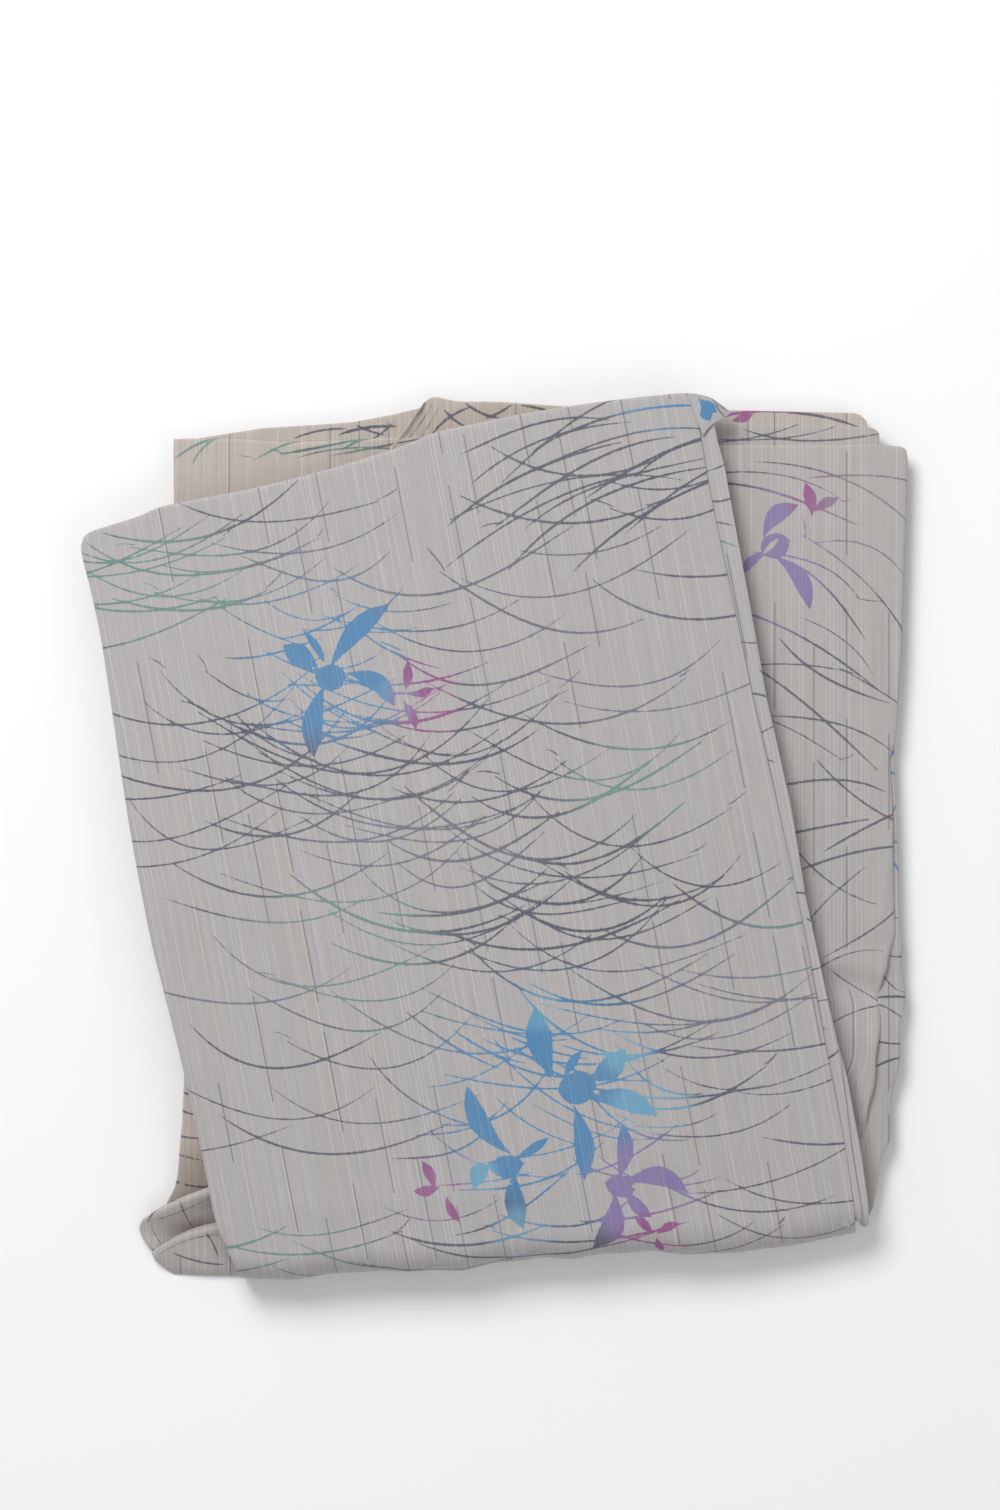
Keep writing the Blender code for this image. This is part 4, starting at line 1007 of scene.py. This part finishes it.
def buildPlies():
    look = pliesLook
    dice = random.Random(look["seed"])
    angles = np.linspace(0, math.tau, look["directions"], endpoint=False)
    rays = raysAt(angles)
    degrees = np.degrees(angles)
    slant = slantOf(topOutline, angles)
    atFoot = plateau(degrees, *look["foot"])
    onRight = (degrees < 66.5) | (degrees > 313.0)
    atStrip = (degrees < 129.8) | (degrees > 314.0)
    nearFoot = (degrees > 236) & (degrees < 316)
    outlines = (topOutline, underLeaf, thirdLeaf, bottomOutline, mouthLow, mouthHigh)
    top, under, third, bottom, low, high = (reachOf(outline, angles) for outline in outlines)
    mouth = mouthDepth(angles)
    upper, slot = upperReach(angles), slotReach(angles) - 0.5 - mouth
    sway = wobble(91, angles, 0.9, (4, 7, 11, 17))
    rings, flats = [], []

    def ring(reach, z, past=0.0, index=0):
        middle, core = pile["top"] / 2, look["core"]
        rise = min(max(z - middle, -core), core)
        within = top - (middle - math.sqrt(core ** 2 - rise ** 2) + 0.3) * slant
        reach = reach * (1 - atFoot) + within * atFoot
        if z > 4.3:
            reach = np.where(nearFoot, np.minimum(reach, top - 2.2 * slant), reach)
        start, end = look["packets"][int(z >= look["packets"][1][0])]
        lift = 0.6 * sway * math.sin(math.pi * (min(z, end) - start) / (end - start))
        place = np.column_stack([rays * reach[:, None], z + lift])
        place[:, 2] *= settle(place[:, 0], place[:, 1])
        rings.append(place)
        flats.append(rays * (reach + past)[:, None] + np.array([37.0 * index % 61, 53.0 * index % 47]))

    def ply(index, reach, base, crest, deep):
        ragged = np.abs(wobble(100 + index, angles, look["uneven"], (2, 3, 5, 9, 17)))
        edge = reach + dice.uniform(*look["step"]) * slant - ragged
        middle, radius = (base + crest) / 2, (crest - base) / 2 * 0.97
        ring(edge - deep * slant, base + 0.03, 0.0, index)
        for turn in np.radians((-84, -48, -16, 16, 48, 84)):
            place = edge - radius * (1 - math.cos(turn)) * slant
            ring(place, middle + radius * math.sin(turn), radius * turn, index)
        ring(edge - deep * slant, crest - 0.03, 2 * radius, index)

    def packet(start, end, reachAt, index):
        z = start
        while z < end - 0.5:
            over = z + dice.uniform(*look["thick"])
            over = end if over > end - 1.1 else over
            wide = dice.random() < look["gapShare"]
            ply(index, reachAt((z + over) / 2), z, over, 5.5 if wide else 2.0)
            z = over + (dice.uniform(*look["gap"]) if wide else 0.06)
            index += 1
        return index

    def lowerReach(z):
        for level, reach in zip(look["mouthLevels"], (bottom, low, high, third - mouth)):
            if z < level:
                return reach
        return np.minimum(under, third) - np.where(atStrip, pile["tuck"] + 1.0, mouth)

    def higherReach(z):
        if z > 24.6:
            tucked = reachOf(overlapOutline, angles) - pile["tuck"] - 0.8
            return np.where(onRight, tucked, upper - 0.6 * slant)
        return upper + 0.6

    ring(bottom * 0.5, 0.02)
    ring(bottom - 3.0, 0.02)
    count = packet(0.04, look["lowerTop"], lowerReach, 0)
    for height in look["slot"]:
        ring(slot, height)
    packet(look["slot"][1] + 0.02, look["upperTop"], higherReach, count)
    ring(upper - 22.0, look["upperTop"] + 0.02)
    ring(upper * 0.5, look["upperTop"] + 0.02)
    return np.stack(rings, axis=0), np.stack(flats, axis=0)


places, flat = buildPlies()
foldedPlies = makeSheet("foldedPlies", places, flat, flat, pliesLook, thickness=0, closedRound=True)
bpy.ops.object.select_all(action="DESELECT")
foldedPlies.select_set(True)
bpy.ops.object.mode_set(mode="EDIT")
bpy.ops.mesh.select_all(action="DESELECT")
bpy.ops.mesh.select_non_manifold()
bpy.ops.mesh.edge_face_add()
bpy.ops.mesh.select_all(action="SELECT")
bpy.ops.mesh.normals_make_consistent(inside=False)
bpy.ops.object.mode_set(mode="OBJECT")
foldedPlies.select_set(False)
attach(foldedPlies, "root")
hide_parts("folded_layers")
print("foldedPlies closed, faces", len(foldedPlies.data.polygons))

# Floor, lights and camera
stageLook = {
    "floor": (0.93, 0.93, 0.93), "floorSize": 6.0, "floorDrop": 0.0002, "floorRoughness": 0.9,
    "floorSpecular": 0.1, "world": 0.47, "camera": (0.0024, 0.039, 2.2), "lens": 110.3,
    "lights": [("keyLight", (-0.7, 1.3, 1.7), 1.1, 35.0, (1.0, 1.0, 1.0)),
               ("fillLight", (1.2, -0.9, 1.9), 1.6, 6.0, (0.88, 0.94, 1.0))],  # place, size, power and tint
}
scene = bpy.context.scene
bpy.ops.mesh.primitive_plane_add(size=stageLook["floorSize"], location=(0, 0, -stageLook["floorDrop"]))
floor = bpy.context.object
floor.name = "floor"
floor.data.name = "floor"
floorPaint = bpy.data.materials.new("floorPaint")
floorPaint.use_nodes = True
floorShader = floorPaint.node_tree.nodes["Principled BSDF"]
floorShader.inputs["Base Color"].default_value = (*stageLook["floor"], 1)
floorShader.inputs["Roughness"].default_value = stageLook["floorRoughness"]
floorShader.inputs["Specular IOR Level"].default_value = stageLook["floorSpecular"]
floor.data.materials.append(floorPaint)
for name, place, size, power, tint in stageLook["lights"]:
    lamp = bpy.data.lights.new(name, "AREA")
    lamp.shape = "DISK"
    lamp.size = size
    lamp.energy = power
    lamp.color = tint
    holder = bpy.data.objects.new(name, lamp)
    scene.collection.objects.link(holder)
    x, y, z = holder.location = place
    holder.rotation_euler = (math.atan2(math.hypot(x, y), z), 0.0, math.atan2(x, -y))  # it faces the origin
world = bpy.data.worlds.new("studio")
scene.world = world
world.use_nodes = True
world.node_tree.nodes["Background"].inputs["Color"].default_value = (1.0, 1.0, 1.0, 1.0)
world.node_tree.nodes["Background"].inputs["Strength"].default_value = stageLook["world"]
cameraData = bpy.data.cameras.new("camera")
cameraData.lens = stageLook["lens"]
camera = bpy.data.objects.new("camera", cameraData)
scene.collection.objects.link(camera)
camera.location = stageLook["camera"]
scene.camera = camera
scene.view_settings.view_transform = "Standard"
print("floor, lights and camera set")
